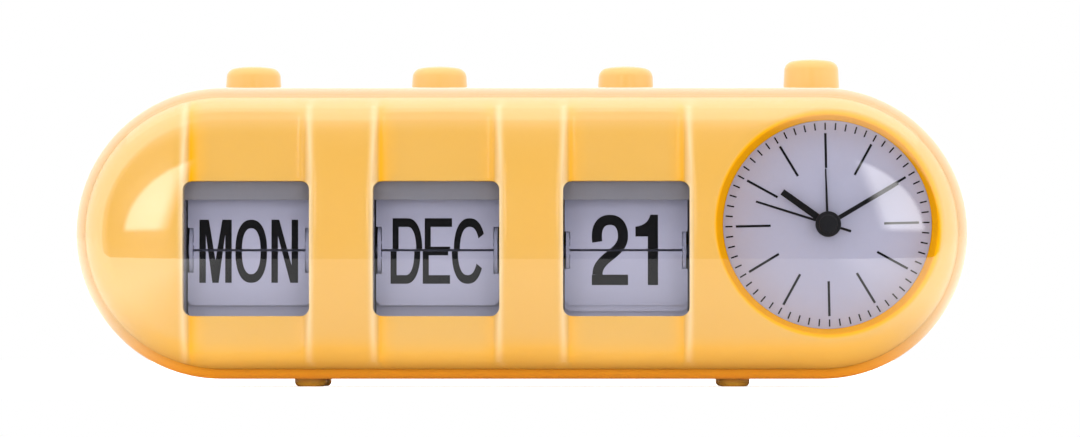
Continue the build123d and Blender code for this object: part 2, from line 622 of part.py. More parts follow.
def make_dial_plate():
    """Printed dial disc that sits on the back of the funnel."""
    disc = Circle(DIAL_RADIUS) - Circle(BUSH_RADIUS + BUSH_CLEARANCE)
    return slab_y(disc, DIAL_Y, DIAL_Y + DIAL_THICKNESS, DIAL_X, DIAL_Z)


def movement_outline(inset):
    """Rounded rectangle of the movement's housing."""
    width = MOVEMENT_WIDTH - 2 * inset
    height = MOVEMENT_HEIGHT - 2 * inset
    return RectangleRounded(width, height, MOVEMENT_CORNER - inset)


def make_movement_case():
    """Front half of the movement's housing, with the bush for the hands and the switch tower."""
    case = slab_y(movement_outline(0.0), MOVEMENT_Y, MOVEMENT_SEAM_Y, DIAL_X, DIAL_Z)
    case += rod_y(BUSH_RADIUS, DIAL_Y - BUSH_RISE, MOVEMENT_Y, DIAL_X, DIAL_Z)
    tower_y = BUTTON_Y + STEM_RADIUS + SWITCH_WIDTH / 2
    case += block(
        ALARM_X - SWITCH_WIDTH / 2, ALARM_X + SWITCH_WIDTH / 2,
        MOVEMENT_Y, tower_y,
        SWITCH_TOP_Z - SWITCH_HEIGHT, SWITCH_TOP_Z,
    )
    tower_foot = SWITCH_TOP_Z - SWITCH_HEIGHT
    case -= rod_z(STEM_RADIUS + STEM_CLEARANCE, tower_foot, SWITCH_TOP_Z, ALARM_X, BUTTON_Y)
    bore = TUBE_RADII[0] + TUBE_CLEARANCE
    return case - rod_y(bore, DIAL_Y - BUSH_RISE, MOVEMENT_Y + TUBE_DEPTH, DIAL_X, DIAL_Z)


def make_movement_back():
    """Back half of the movement's housing, with sockets for the two setting shafts."""
    back = slab_y(movement_outline(MOVEMENT_STEP), MOVEMENT_SEAM_Y, MOVEMENT_BACK_Y, DIAL_X, DIAL_Z)
    for x in KNOB_X:
        socket = KNOB_SHAFT_RADIUS + KNOB_SHAFT_CLEARANCE
        back -= rod_y(socket, MOVEMENT_BACK_Y - KNOB_SEAT_DEPTH, MOVEMENT_BACK_Y, x, DIAL_Z)
    return back


def hand_front_y(level):
    """Front face of the hand on a level, counted from the dial."""
    first = DIAL_Y - BUSH_RISE - HAND_FIRST_GAP
    return first - HAND_THICKNESS - level * (HAND_THICKNESS + HAND_GAP)


def make_hand(level, shape, tapered):
    """Flat hand with its hub and the tube or pin that it turns on."""
    length, tail, width = shape
    tip_width = width / 2 if tapered else width
    side = [(-tail, width / 2), (0, width / 2), (length, tip_width / 2)]
    outline = side + [(along, -across) for along, across in reversed(side)]
    blade = make_face(Polyline(*outline, close=True))
    flat = Rot(0, 0, HAND_ANGLES[level]) * blade + Circle(HUB_RADII[level])
    front = hand_front_y(level)
    hand = slab_y(flat, front, front + HAND_THICKNESS, DIAL_X, DIAL_Z)
    inner = MOVEMENT_Y + TUBE_DEPTH - HAND_GAP
    hand += rod_y(TUBE_RADII[level], front, inner, DIAL_X, DIAL_Z)
    if level < len(TUBE_RADII) - 1:
        bore = TUBE_RADII[level + 1] + TUBE_CLEARANCE
        return hand - rod_y(bore, front, inner, DIAL_X, DIAL_Z)
    cap = rod_y(HUB_RADII[level], front - HUB_CAP_HEIGHT, front, DIAL_X, DIAL_Z)
    rim = cap.edges().group_by(Axis.Y)[0]
    return hand + fillet(rim, HUB_CAP_HEIGHT / 2)


def make_set_knob(x):
    """Fluted setting knob in the recess, with a shaft that reaches the movement."""
    floor = RECESS_FLOOR_Y + KNOB_FLOOR_GAP
    outline = Circle(KNOB_RADIUS)
    for index in range(KNOB_FLUTES):
        turn = 360 * index / KNOB_FLUTES
        outline -= Rot(0, 0, turn) * Pos(KNOB_RADIUS, 0) * RegularPolygon(KNOB_FLUTE_RADIUS, 4)
    knob = slab_y(outline, floor, floor + KNOB_HEIGHT, x, DIAL_Z)
    shaft_end = MOVEMENT_BACK_Y - KNOB_SEAT_DEPTH + KNOB_FLOOR_GAP
    return knob + rod_y(KNOB_SHAFT_RADIUS, shaft_end, floor, x, DIAL_Z)


def make_battery_door():
    """Flush battery door with a thumb dish and a locating rib."""
    y0 = BACK_Y - DOOR_THICKNESS
    door = slab_y(RectangleRounded(DOOR_WIDTH, DOOR_HEIGHT, DOOR_CORNER), y0, BACK_Y, 0, CELL_Z)
    grip_x = DOOR_WIDTH / 2 - DOOR_GRIP_RADIUS - DOOR_MARGIN
    grip = Circle(DOOR_GRIP_RADIUS)
    return door - slab_y(grip, BACK_Y - DOOR_GRIP_DEPTH, BACK_Y, grip_x, CELL_Z)


def make_cell():
    """Single AA cell lying in the bay, with its positive nub to the right."""
    half = CELL_LENGTH / 2
    return rod_x(CELL_RADIUS, -half, half, CELL_Y, CELL_Z) + \
        rod_x(CELL_NUB_RADIUS, half, half + CELL_NUB_LENGTH, CELL_Y, CELL_Z)


def make_contacts():
    """Two nickel contacts on the bay's end walls: a flat one and one with a conical spring."""
    half_bay = BAY_WIDTH / 2
    half = CONTACT_WIDTH / 2
    cell_half = CELL_LENGTH / 2
    spring_depth = half_bay - CONTACT_THICKNESS - cell_half
    spring = Pos(-cell_half - spring_depth / 2, CELL_Y, CELL_Z) * Rot(0, 90, 0)
    plate = CONTACT_THICKNESS, CONTACT_WIDTH, CONTACT_WIDTH
    negative = Pos(-half_bay + CONTACT_THICKNESS / 2, CELL_Y, CELL_Z) * Box(*plate)
    negative += spring * Cone(half - CONTACT_THICKNESS, half / 2, spring_depth)
    nub_end = cell_half + CELL_NUB_LENGTH
    positive = Pos(half_bay - CONTACT_THICKNESS / 2, CELL_Y, CELL_Z) * Box(*plate)
    positive += rod_x(CELL_NUB_RADIUS, nub_end, half_bay - CONTACT_THICKNESS, CELL_Y, CELL_Z)
    return negative, positive


def make_alarm_plunger():
    """Stem of the alarm button, guided by the switch tower."""
    foot = SWITCH_TOP_Z - SWITCH_HEIGHT + BUTTON_STROKE + BUTTON_FLANGE_GAP
    collar_z = SWITCH_TOP_Z + ALARM_SPRING_HEIGHT
    stem = rod_z(STEM_RADIUS, foot, stem_top(ALARM_RISE), ALARM_X, BUTTON_Y)
    half = ARM_WIDTH / 2
    return stem + block(
        ALARM_X - half, ALARM_X + half,
        BUTTON_Y - half, BUTTON_Y + STEM_RADIUS + SWITCH_WIDTH / 2,
        collar_z, collar_z + ALARM_COLLAR,
    )


save("clear_cover", make_clear_cover())
save("front_fascia", make_front_fascia())
save("rear_case", make_rear_case())
save("feet", *[make_foot(x, y) for x in (-FOOT_X, FOOT_X) for y in FOOT_Y])
save("case_screws", *[
    make_screw_y(
        SCREW_RADIUS, SCREW_LENGTH, SCREW_HEAD_RADIUS, SCREW_HEAD_HEIGHT,
        x, POST_MEET_Y + SCREW_GRIP, z,
    )
    for x, z in POST_SPOTS
])
save("frame_screws", *[
    make_screw_y(
        EAR_SCREW_RADIUS, EAR_SCREW_LENGTH, EAR_SCREW_HEAD_RADIUS, EAR_SCREW_HEAD_HEIGHT,
        ear_x, FLOOR_BACK_Y + EAR_THICKNESS, ear_z,
    )
    for x in MODULE_X for ear_x, ear_z in ear_spots(x)
])

for name, x, count in zip(MODULE_NAMES, MODULE_X, LEAF_COUNTS):
    leaf = make_leaf(count)
    save(f"{name}_frame", make_frame(x))
    save(f"{name}_drum", make_drum(x, count))
    save(f"{name}_flip_leaf", place_leaf(leaf, x, count, 0))
    save(f"{name}_leaves", *[place_leaf(leaf, x, count, index) for index in range(1, count)])
    save(f"{name}_button", make_button_cap(x, BUTTON_RISE, BUTTON_FLANGE_GAP))
    save(f"{name}_plunger", make_plunger(x))
    save(f"{name}_return_spring", make_return_spring(x, ROOF_TOP_Z, ROOF_TOP_Z + ARM_ABOVE_ROOF))

save("alarm_button", make_button_cap(ALARM_X, ALARM_RISE, ALARM_FLANGE_GAP))
save("alarm_plunger", make_alarm_plunger())
save("alarm_return_spring", make_return_spring(ALARM_X, SWITCH_TOP_Z, SWITCH_TOP_Z + ALARM_SPRING_HEIGHT))
save("dial_plate", make_dial_plate())
save("movement_case", make_movement_case())
save("movement_back", make_movement_back())
save("alarm_hand", make_hand(0, ALARM_HAND, True))
save("hour_hand", make_hand(1, HOUR_HAND, False))
save("minute_hand", make_hand(2, MINUTE_HAND, False))
save("second_hand", make_hand(3, SECOND_HAND, False))
save("time_set_knob", make_set_knob(KNOB_X[0]))
save("alarm_set_knob", make_set_knob(KNOB_X[1]))
save("battery_door", make_battery_door())
save("battery_cell", make_cell())
save("battery_contacts", *make_contacts())
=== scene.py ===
"""Looks of a pill-shaped flip calendar with an alarm dial.

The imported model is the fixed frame. Each class below dresses one sub-assembly of it, in metres,
with X to the right, Y to the back and Z up.
"""

from __future__ import annotations

import logging
import math
from dataclasses import dataclass
from enum import Enum
from typing import Any, ClassVar

import bmesh
import bpy
import numpy as np
from mathutils import Matrix, Vector
from mathutils.geometry import delaunay_2d_cdt

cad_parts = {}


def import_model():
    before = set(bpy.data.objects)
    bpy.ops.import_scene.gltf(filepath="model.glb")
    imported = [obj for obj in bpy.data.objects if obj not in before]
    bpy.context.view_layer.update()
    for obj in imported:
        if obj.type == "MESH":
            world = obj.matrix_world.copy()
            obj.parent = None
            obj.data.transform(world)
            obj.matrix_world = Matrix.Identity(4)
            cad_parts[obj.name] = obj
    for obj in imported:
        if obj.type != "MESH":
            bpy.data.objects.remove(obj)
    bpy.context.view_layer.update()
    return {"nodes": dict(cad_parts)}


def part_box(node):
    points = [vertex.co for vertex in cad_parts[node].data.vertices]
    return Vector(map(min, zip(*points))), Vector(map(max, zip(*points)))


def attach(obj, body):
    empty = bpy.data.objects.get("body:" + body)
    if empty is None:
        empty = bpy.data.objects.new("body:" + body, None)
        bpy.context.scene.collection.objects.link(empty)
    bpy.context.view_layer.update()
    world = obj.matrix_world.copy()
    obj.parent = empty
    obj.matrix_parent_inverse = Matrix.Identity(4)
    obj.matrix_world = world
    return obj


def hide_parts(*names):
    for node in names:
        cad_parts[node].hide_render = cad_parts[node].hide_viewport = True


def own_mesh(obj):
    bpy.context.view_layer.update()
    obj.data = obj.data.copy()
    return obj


# A flat piece: its points, and blocks of faces as corner indices.
Flat = tuple[np.ndarray, list[np.ndarray]]

LOG = logging.getLogger("clock")
MM = 0.001
TINY = 1e-9
HOUSING = "housing"
MODULES = ("day", "month", "date")
COLUMNS = (-62.7 * MM, -19.325 * MM, 24.05 * MM)
DIAL_CENTRE = (70.2 * MM, 37.2 * MM)
DIAL_FACE = -17.7 * MM


def linear(code: str) -> tuple[float, float, float, float]:
    """Turn an sRGB hex value into a linear colour.

    Args:
        code: six hex digits with a leading hash.

    Returns:
        Linear red, green, blue and an alpha of 1.
    """
    srgb = np.array([int(code[start : start + 2], 16) for start in (1, 3, 5)]) / 255
    low = srgb / 12.92
    high = ((srgb + 0.055) / 1.055) ** 2.4
    red, green, blue = np.where(srgb <= 0.04045, low, high)
    return float(red), float(green), float(blue), 1.0


def add_node(
    tree: bpy.types.NodeTree, kind: str, sockets: dict | None = None, **settings: Any
) -> bpy.types.Node:
    """Add a node, set its settings, and fill or link its inputs.

    Args:
        tree: node tree that gets the node.
        kind: the node's type name.
        sockets: input name or index to a value, or to another node's output socket.
        settings: attributes of the node itself.

    Returns:
        The new node.
    """
    node = tree.nodes.new(kind)
    for name, value in settings.items():
        setattr(node, name, value)
    for name, value in (sockets or {}).items():
        if isinstance(value, bpy.types.NodeSocket):
            tree.links.new(value, node.inputs[name])
        else:
            node.inputs[name].default_value = value
    return node


def empty_material(name: str) -> tuple[bpy.types.Material, bpy.types.NodeTree]:
    """Make a material with no nodes yet.

    Args:
        name: the material's name.

    Returns:
        The material and its node tree.
    """
    material = bpy.data.materials.new(name)
    material.use_nodes = True
    material.node_tree.nodes.clear()
    return material, material.node_tree


def per_metre(size_mm: float) -> float:
    """Scale of a pattern on Object coordinates whose features are size_mm wide."""
    return 1.0 / (size_mm * MM)


def mottled(
    tree: bpy.types.NodeTree,
    place: bpy.types.NodeSocket,
    size_mm: float,
    detail: float,
    colours: tuple[str, str],
) -> tuple[bpy.types.NodeSocket, bpy.types.NodeSocket]:
    """Mix two close colours by a cloudy pattern.

    Args:
        tree: the material's nodes.
        place: the Object coordinates.
        size_mm: width of the pattern's clouds or specks.
        detail: how many finer layers the pattern has.
        colours: the two colours as hex values.

    Returns:
        The pattern and the mixed colour.
    """
    pattern = add_node(
        tree, "ShaderNodeTexNoise", {"Vector": place, "Scale": per_metre(size_mm), "Detail": detail}
    ).outputs["Fac"]
    first, second = (linear(code) for code in colours)
    mixed = add_node(tree, "ShaderNodeMix", {"Factor": pattern, "A": first, "B": second}, data_type="RGBA")
    return pattern, mixed.outputs["Result"]


@dataclass(frozen=True)
class MouldedPlastic:
    """Injection-moulded plastic: even colour, a faint cloud from the melt's flow, a fine tool texture."""

    name: str
    colour: str
    cloud: str
    roughness: float = 0.3
    gloss_spread: float = 0.15
    texture_mm: float = 0.5
    texture_depth: float = 0.05
    texture_height: float = 0.1 * MM
    texture_detail: float = 3.0
    cloud_mm: float = 18.0
    cloud_detail: float = 2.0
    ior: float = 1.53
    shine: float = 0.5
    # Painted light: deep is a painted shade colour for hollows and for the part below shade_mm, pale a
    # painted highlight colour for ridges; polish is the shine on plain faces, and matt_below the relief at
    # which the shine is gone.
    deep: str = ""
    pale: str = ""
    polish: float = 1.0
    matt_below: float = -0.6
    shade_mm: float = 0.0

    def material(self) -> bpy.types.Material:
        """Build the material.

        Returns:
            The finished material.
        """
        material, tree = empty_material(self.name)
        place = add_node(tree, "ShaderNodeTexCoord").outputs["Object"]
        _, tint = mottled(tree, place, self.cloud_mm, self.cloud_detail, (self.colour, self.cloud))
        shine: Any = self.shine
        # Painted shade and painted highlight, mixed into the colour.
        if self.deep:
            tint, shine = self.paint_light_by_relief(tree, tint, place)
        # The tool's grit is far finer than a pixel, so it is drawn at the texture_mm that still shows.
        grit = add_node(
            tree,
            "ShaderNodeTexNoise",
            {"Vector": place, "Scale": per_metre(self.texture_mm), "Detail": self.texture_detail},
        ).outputs["Fac"]
        least, most = (self.roughness * (1 + side * self.gloss_spread) for side in (-1, 1))
        gloss = add_node(tree, "ShaderNodeMapRange", {"Value": grit, "To Min": least, "To Max": most})
        bump = add_node(
            tree,
            "ShaderNodeBump",
            {"Height": grit, "Strength": self.texture_depth, "Distance": self.texture_height},
        )
        shader = add_node(
            tree,
            "ShaderNodeBsdfPrincipled",
            {
                "Base Color": tint,
                "Roughness": gloss.outputs["Result"],
                "Normal": bump.outputs["Normal"],
                "IOR": self.ior,
                "Specular IOR Level": shine,
            },
        )
        add_node(tree, "ShaderNodeOutputMaterial", {"Surface": shader.outputs["BSDF"]})
        return material

    def paint_light_by_relief(
        self, tree: bpy.types.NodeTree, tint: bpy.types.NodeSocket, place: bpy.types.NodeSocket
    ) -> tuple[bpy.types.NodeSocket, bpy.types.NodeSocket]:
        """Let the colour and the shine follow the piece's relief attribute, or its height above the table.

        The deep colour is painted shade, which deepens the yellow in tight hollows, and the pale colour is a
        painted highlight on rounded ridges. The shine falls away in the hollows.
        Below shade_mm the yellow deepens towards the table as painted shade, in the same way.

        Args:
            tree: the material's nodes.
            tint: the plain colour.
            place: the Object coordinates.

        Returns:
            The colour and the shine.
        """
        # Painted shade: the relief falls to -1 towards the table.
        if self.shade_mm:
            height = add_node(tree, "ShaderNodeSeparateXYZ", {0: place}).outputs["Z"]
            ends = {"Value": height, "From Max": self.shade_mm * MM, "To Min": -1.0, "To Max": 0.0}
            relief = add_node(tree, "ShaderNodeMapRange", ends).outputs["Result"]
        else:
            relief = add_node(tree, "ShaderNodeAttribute", attribute_name="relief").outputs["Fac"]
        # Mix in the painted shade towards relief -1 and the painted highlight towards relief +1.
        for code, full in ((self.deep, -1.0), (self.pale or self.colour, 1.0)):
            share = add_node(tree, "ShaderNodeMapRange", {"Value": relief, "From Max": full})
            ends = {"Factor": share.outputs["Result"], "A": tint, "B": linear(code)}
            tint = add_node(tree, "ShaderNodeMix", ends, data_type="RGBA").outputs["Result"]
        ends = {"Value": relief, "From Min": self.matt_below, "From Max": 0.0, "To Max": self.polish}
        return tint, add_node(tree, "ShaderNodeMapRange", ends).outputs["Result"]


@dataclass(frozen=True)
class ClearAcrylic:
    """Polished clear acrylic, thin enough to see straight through: it mirrors more towards its edges."""

    name: str = "clear_acrylic_polished"
    clearness: float = 0.985
    roughness: float = 0.02
    facing_mirror: float = 0.075
    edge_mirror: float = 0.72
    edge_power: float = 2.0
    ripple_mm: float = 60.0
    ripple_depth: float = 0.05
    ripple_height: float = 0.3 * MM

    def material(self) -> bpy.types.Material:
        """Build the material.

        The mirrored share is facing_mirror seen square on, and rises with a power of how far the surface
        turns away, as it does on every clear plastic.

        Returns:
            The finished material.
        """
        material, tree = empty_material(self.name)
        place = add_node(tree, "ShaderNodeTexCoord").outputs["Object"]
        # Moulded acrylic is never quite flat: a long, shallow ripple bends its reflections a little.
        ripple = add_node(tree, "ShaderNodeTexNoise", {"Vector": place, "Scale": per_metre(self.ripple_mm)})
        bump = add_node(
            tree,
            "ShaderNodeBump",
            {"Height": ripple.outputs["Fac"], "Strength": self.ripple_depth, "Distance": self.ripple_height},
        )
        turned = add_node(tree, "ShaderNodeLayerWeight").outputs["Facing"]
        steep = add_node(tree, "ShaderNodeMath", {0: turned, 1: self.edge_power}, operation="POWER")
        share = add_node(
            tree,
            "ShaderNodeMapRange",
            {"Value": steep.outputs["Value"], "To Min": self.facing_mirror, "To Max": self.edge_mirror},
        )
        # Lamps shine through unhindered, and the inner wall, met from behind, adds no second mirror image.
        lamp_ray = add_node(tree, "ShaderNodeLightPath").outputs["Is Shadow Ray"]
        inner = add_node(tree, "ShaderNodeNewGeometry").outputs["Backfacing"]
        plain = add_node(tree, "ShaderNodeMath", {0: lamp_ray, 1: inner}, operation="MAXIMUM")
        share = add_node(
            tree,
            "ShaderNodeMix",
            {"Factor": plain.outputs["Value"], "A": share.outputs["Result"], "B": 0.0},
            data_type="FLOAT",
        )
        open_way = add_node(tree, "ShaderNodeBsdfTransparent", {"Color": (self.clearness,) * 3 + (1.0,)})
        mirror = add_node(
            tree,
            "ShaderNodeBsdfGlossy",
            {"Color": linear("#FFFFFF"), "Roughness": self.roughness, "Normal": bump.outputs["Normal"]},
        )
        mix = add_node(
            tree,
            "ShaderNodeMixShader",
            {0: share.outputs["Result"], 1: open_way.outputs["BSDF"], 2: mirror.outputs["BSDF"]},
        )
        add_node(tree, "ShaderNodeOutputMaterial", {"Surface": mix.outputs["Shader"]})
        return material


@dataclass(frozen=True)
class FlatPaint:
    """Matt paint, ink or film: even colour with a fine speckle and a soft sheen."""

    name: str
    colour: str
    speckle: str
    roughness: float = 0.5
    speckle_mm: float = 0.6
    speckle_detail: float = 4.0
    speckle_depth: float = 0.04
    speckle_height: float = 0.05 * MM
    shine: float = 0.4

    def material(self) -> bpy.types.Material:
        """Build the material.

        Returns:
            The finished material.
        """
        material, tree = empty_material(self.name)
        place = add_node(tree, "ShaderNodeTexCoord").outputs["Object"]
        colours = (self.colour, self.speckle)
        grain, tint = mottled(tree, place, self.speckle_mm, self.speckle_detail, colours)
        bump = add_node(
            tree,
            "ShaderNodeBump",
            {"Height": grain, "Strength": self.speckle_depth, "Distance": self.speckle_height},
        )
        shader = add_node(
            tree,
            "ShaderNodeBsdfPrincipled",
            {
                "Base Color": tint,
                "Roughness": self.roughness,
                "Specular IOR Level": self.shine,
                "Normal": bump.outputs["Normal"],
            },
        )
        add_node(tree, "ShaderNodeOutputMaterial", {"Surface": shader.outputs["BSDF"]})
        return material


@dataclass(frozen=True)
class RolledMetal:
    """Rolled or turned metal: fine parallel streaks in its shine."""

    name: str
    colour: str
    roughness: float = 0.28
    gloss_spread: float = 0.3
    streak_mm: float = 0.25
    streak_draw: float = 0.05

    def material(self) -> bpy.types.Material:
        """Build the material.

        The streaks are a fine pattern that is drawn out along X, to 1 / streak_draw of its width.

        Returns:
            The finished material.
        """
        material, tree = empty_material(self.name)
        place = add_node(tree, "ShaderNodeTexCoord").outputs["Object"]
        drawn = add_node(tree, "ShaderNodeMapping", {"Vector": place, "Scale": (self.streak_draw, 1.0, 1.0)})
        streak = add_node(
            tree,
            "ShaderNodeTexNoise",
            {"Vector": drawn.outputs["Vector"], "Scale": per_metre(self.streak_mm)},
        ).outputs["Fac"]
        least, most = (self.roughness * (1 + side * self.gloss_spread) for side in (-1, 1))
        gloss = add_node(tree, "ShaderNodeMapRange", {"Value": streak, "To Min": least, "To Max": most})
        shader = add_node(
            tree,
            "ShaderNodeBsdfPrincipled",
            {"Base Color": linear(self.colour), "Metallic": 1.0, "Roughness": gloss.outputs["Result"]},
        )
        add_node(tree, "ShaderNodeOutputMaterial", {"Surface": shader.outputs["BSDF"]})
        return material


class Finish(Enum):
    """Every finish on the clock."""

    # The case's deep colour is painted shade, deepening its yellow towards the table below shade_mm.
    CASE = MouldedPlastic(
        "abs_yellow_glossy", "#EEBC58", "#F0C060", roughness=0.22, texture_depth=0.008,
        deep="#FFA400", shade_mm=14.0,
    )
    # Painted light: the feet have the case's yellow made lighter and stronger, against the shade under the
    # body.
    FOOT = MouldedPlastic("abs_yellow_foot", "#FFC446", "#FFC850", roughness=0.35, texture_depth=0.02)
    # The fascia's deep colour is painted shade in the channels' hollows and the dial's funnel, and its pale
    # colour a painted highlight on the channels' lips.
    FASCIA = MouldedPlastic(
        "abs_yellow_satin", "#E7B34E", "#E9B757", roughness=0.22, texture_depth=0.03,
        deep="#FFB60C", pale="#FCE0AC",
    )
    BUTTON = MouldedPlastic("abs_yellow_button", "#DCB264", "#DEB66C", roughness=0.3, texture_depth=0.03)
    COVER = ClearAcrylic()
    LEAF = FlatPaint("pvc_leaf_grey_lavender", "#B0B1CC", "#B4B5D0", roughness=0.45)
    FRAME = MouldedPlastic("abs_frame_grey", "#74747F", "#797984", roughness=0.5)
    ACETAL = MouldedPlastic("acetal_grey_lavender", "#A8AAC6", "#ACAECA", roughness=0.45)
    DIAL = FlatPaint("dial_paint_lavender", "#A6A8C1", "#AAACC5", roughness=0.5)
    INK = FlatPaint("screen_ink_black", "#0C0C10", "#111116", roughness=0.55, speckle_mm=0.3, shine=0.1)
    HAND = FlatPaint("hand_paint_black", "#0C0C10", "#101014", roughness=0.4, speckle_mm=0.3, shine=0.15)
    HUB = FlatPaint("hub_cap_charcoal", "#131318", "#17171C", roughness=0.35, speckle_mm=0.3, shine=0.25)
    MOVEMENT = MouldedPlastic("abs_black", "#1A1A1C", "#202022", roughness=0.45)
    KNOB = MouldedPlastic("abs_black_knob", "#1C1C1E", "#232326", roughness=0.4)
    ZINC = RolledMetal("steel_zinc_plated", "#B9BBBD")
    SPRING = RolledMetal("spring_steel_strip", "#A9ABAE", roughness=0.22)
    NICKEL = RolledMetal("brass_nickel_plated", "#C6C2B4", roughness=0.2)
    CELL = FlatPaint("cell_sleeve_black", "#1E1F22", "#26272B", roughness=0.35)


class Grid:
    """Turns whole arrays of points into meshes."""

    @staticmethod
    def quads(rows: int, columns: int, wrap_rows: bool, wrap_columns: bool) -> np.ndarray:
        """Corner indices of every cell of a grid.

        Args:
            rows: number of points along the first parameter.
            columns: number of points along the second parameter.
            wrap_rows: whether the last row joins the first.
            wrap_columns: whether the last column joins the first.

        Returns:
            One row of four indices for each cell.
        """
        first = np.arange(rows if wrap_rows else rows - 1)[:, None]
        second = np.arange(columns if wrap_columns else columns - 1)[None, :]
        below = (first + 1) % rows
        beside = (second + 1) % columns
        corners = [
            first * columns + second,
            below * columns + second,
            below * columns + beside,
            first * columns + beside,
        ]
        return np.stack([corner + 0 * (first + second) for corner in corners], axis=-1).reshape(-1, 4)

    @staticmethod
    def mesh(
        name: str, points: np.ndarray, faces: list[np.ndarray], merge: float = 1e-6
    ) -> bpy.types.Object:
        """Make an object of points and faces, with doubles merged and faces outwards.

        Args:
            name: the object's name.
            points: an array of points in metres.
            faces: arrays of corner indices.
            merge: distance under which two points become one.

        Returns:
            The new object, linked to the scene.
        """
        data = bpy.data.meshes.new(name)
        corners = [corner for block in faces for corner in block.tolist()]
        data.from_pydata(points.reshape(-1, 3).tolist(), [], corners)
        work = bmesh.new()
        work.from_mesh(data)
        bmesh.ops.remove_doubles(work, verts=work.verts, dist=merge)
        bmesh.ops.dissolve_degenerate(work, edges=work.edges, dist=merge)
        bmesh.ops.recalc_face_normals(work, faces=work.faces)
        work.to_mesh(data)
        work.free()
        data.update()
        data.shade_smooth()
        piece = bpy.data.objects.new(name, data)
        bpy.context.scene.collection.objects.link(piece)
        return piece

    @classmethod
    def sheet(
        cls, name: str, points: np.ndarray, wrap_rows: bool = False, wrap_columns: bool = False
    ) -> bpy.types.Object:
        """Make an object of one grid of points.

        Args:
            name: the object's name.
            points: array of rows, columns and three coordinates.
            wrap_rows: whether the last row joins the first.
            wrap_columns: whether the last column joins the first.

        Returns:
            The new object.
        """
        rows, columns = points.shape[:2]
        return cls.mesh(name, points, [cls.quads(rows, columns, wrap_rows, wrap_columns)])

    @staticmethod
    def turned(profile: np.ndarray, sides: int) -> np.ndarray:
        """Turn a profile about its second axis.

        Point (i, j) is the profile's point j at the angle of side i: its radius gives the first two
        coordinates, and its height gives the third.

        Args:
            profile: rows of radius and height.
            sides: number of steps round.

        Returns:
            Array of sides, profile points and three coordinates.
        """
        angle = np.linspace(0, 2 * np.pi, sides, endpoint=False)[:, None]
        radius = profile[None, :, 0]
        height = np.broadcast_to(profile[None, :, 1], (sides, len(profile)))
        return np.stack([radius * np.cos(angle), radius * np.sin(angle), height], axis=-1)


def arc(centre: tuple[float, float], radius: float, start: float, end: float, count: int) -> np.ndarray:
    """Points of an arc.

    Args:
        centre: the arc's centre.
        radius: its radius.
        start: first angle in radians, from the first axis.
        end: last angle in radians.
        count: number of points.

    Returns:
        Rows of two coordinates.
    """
    angle = np.linspace(start, end, count)
    return np.stack([centre[0] + radius * np.cos(angle), centre[1] + radius * np.sin(angle)], axis=-1)


def on_dial(turned: np.ndarray) -> np.ndarray:
    """Bring a turned form onto the dial's axis, with its height as depth."""
    return turned[..., [0, 2, 1]] + np.array([DIAL_CENTRE[0], 0.0, DIAL_CENTRE[1]])


def keep_sharp(piece: bpy.types.Object, degrees: float) -> None:
    """Keep the edges sharp at which two faces meet at more than the given angle."""
    piece.data.set_sharp_from_angle(angle=math.radians(degrees))


PAINTS: dict[Finish, bpy.types.Material] = {}


def dress(piece: bpy.types.Object, finish: Finish, body: str, slot: str, *nodes: str) -> bpy.types.Object:
    """Give a new piece its finish and its body, and hide the nodes that it stands for.

    Args:
        piece: the new object.
        finish: its finish.
        body: the body it rides on.
        slot: not used.
        nodes: CAD nodes that it replaces.

    Returns:
        The same object.
    """
    piece.data.materials.clear()
    piece.data.materials.append(PAINTS[finish])
    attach(piece, body)
    if nodes:
        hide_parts(*nodes)
    LOG.info("%s: %d faces on %s", piece.name, len(piece.data.polygons), body)
    return piece


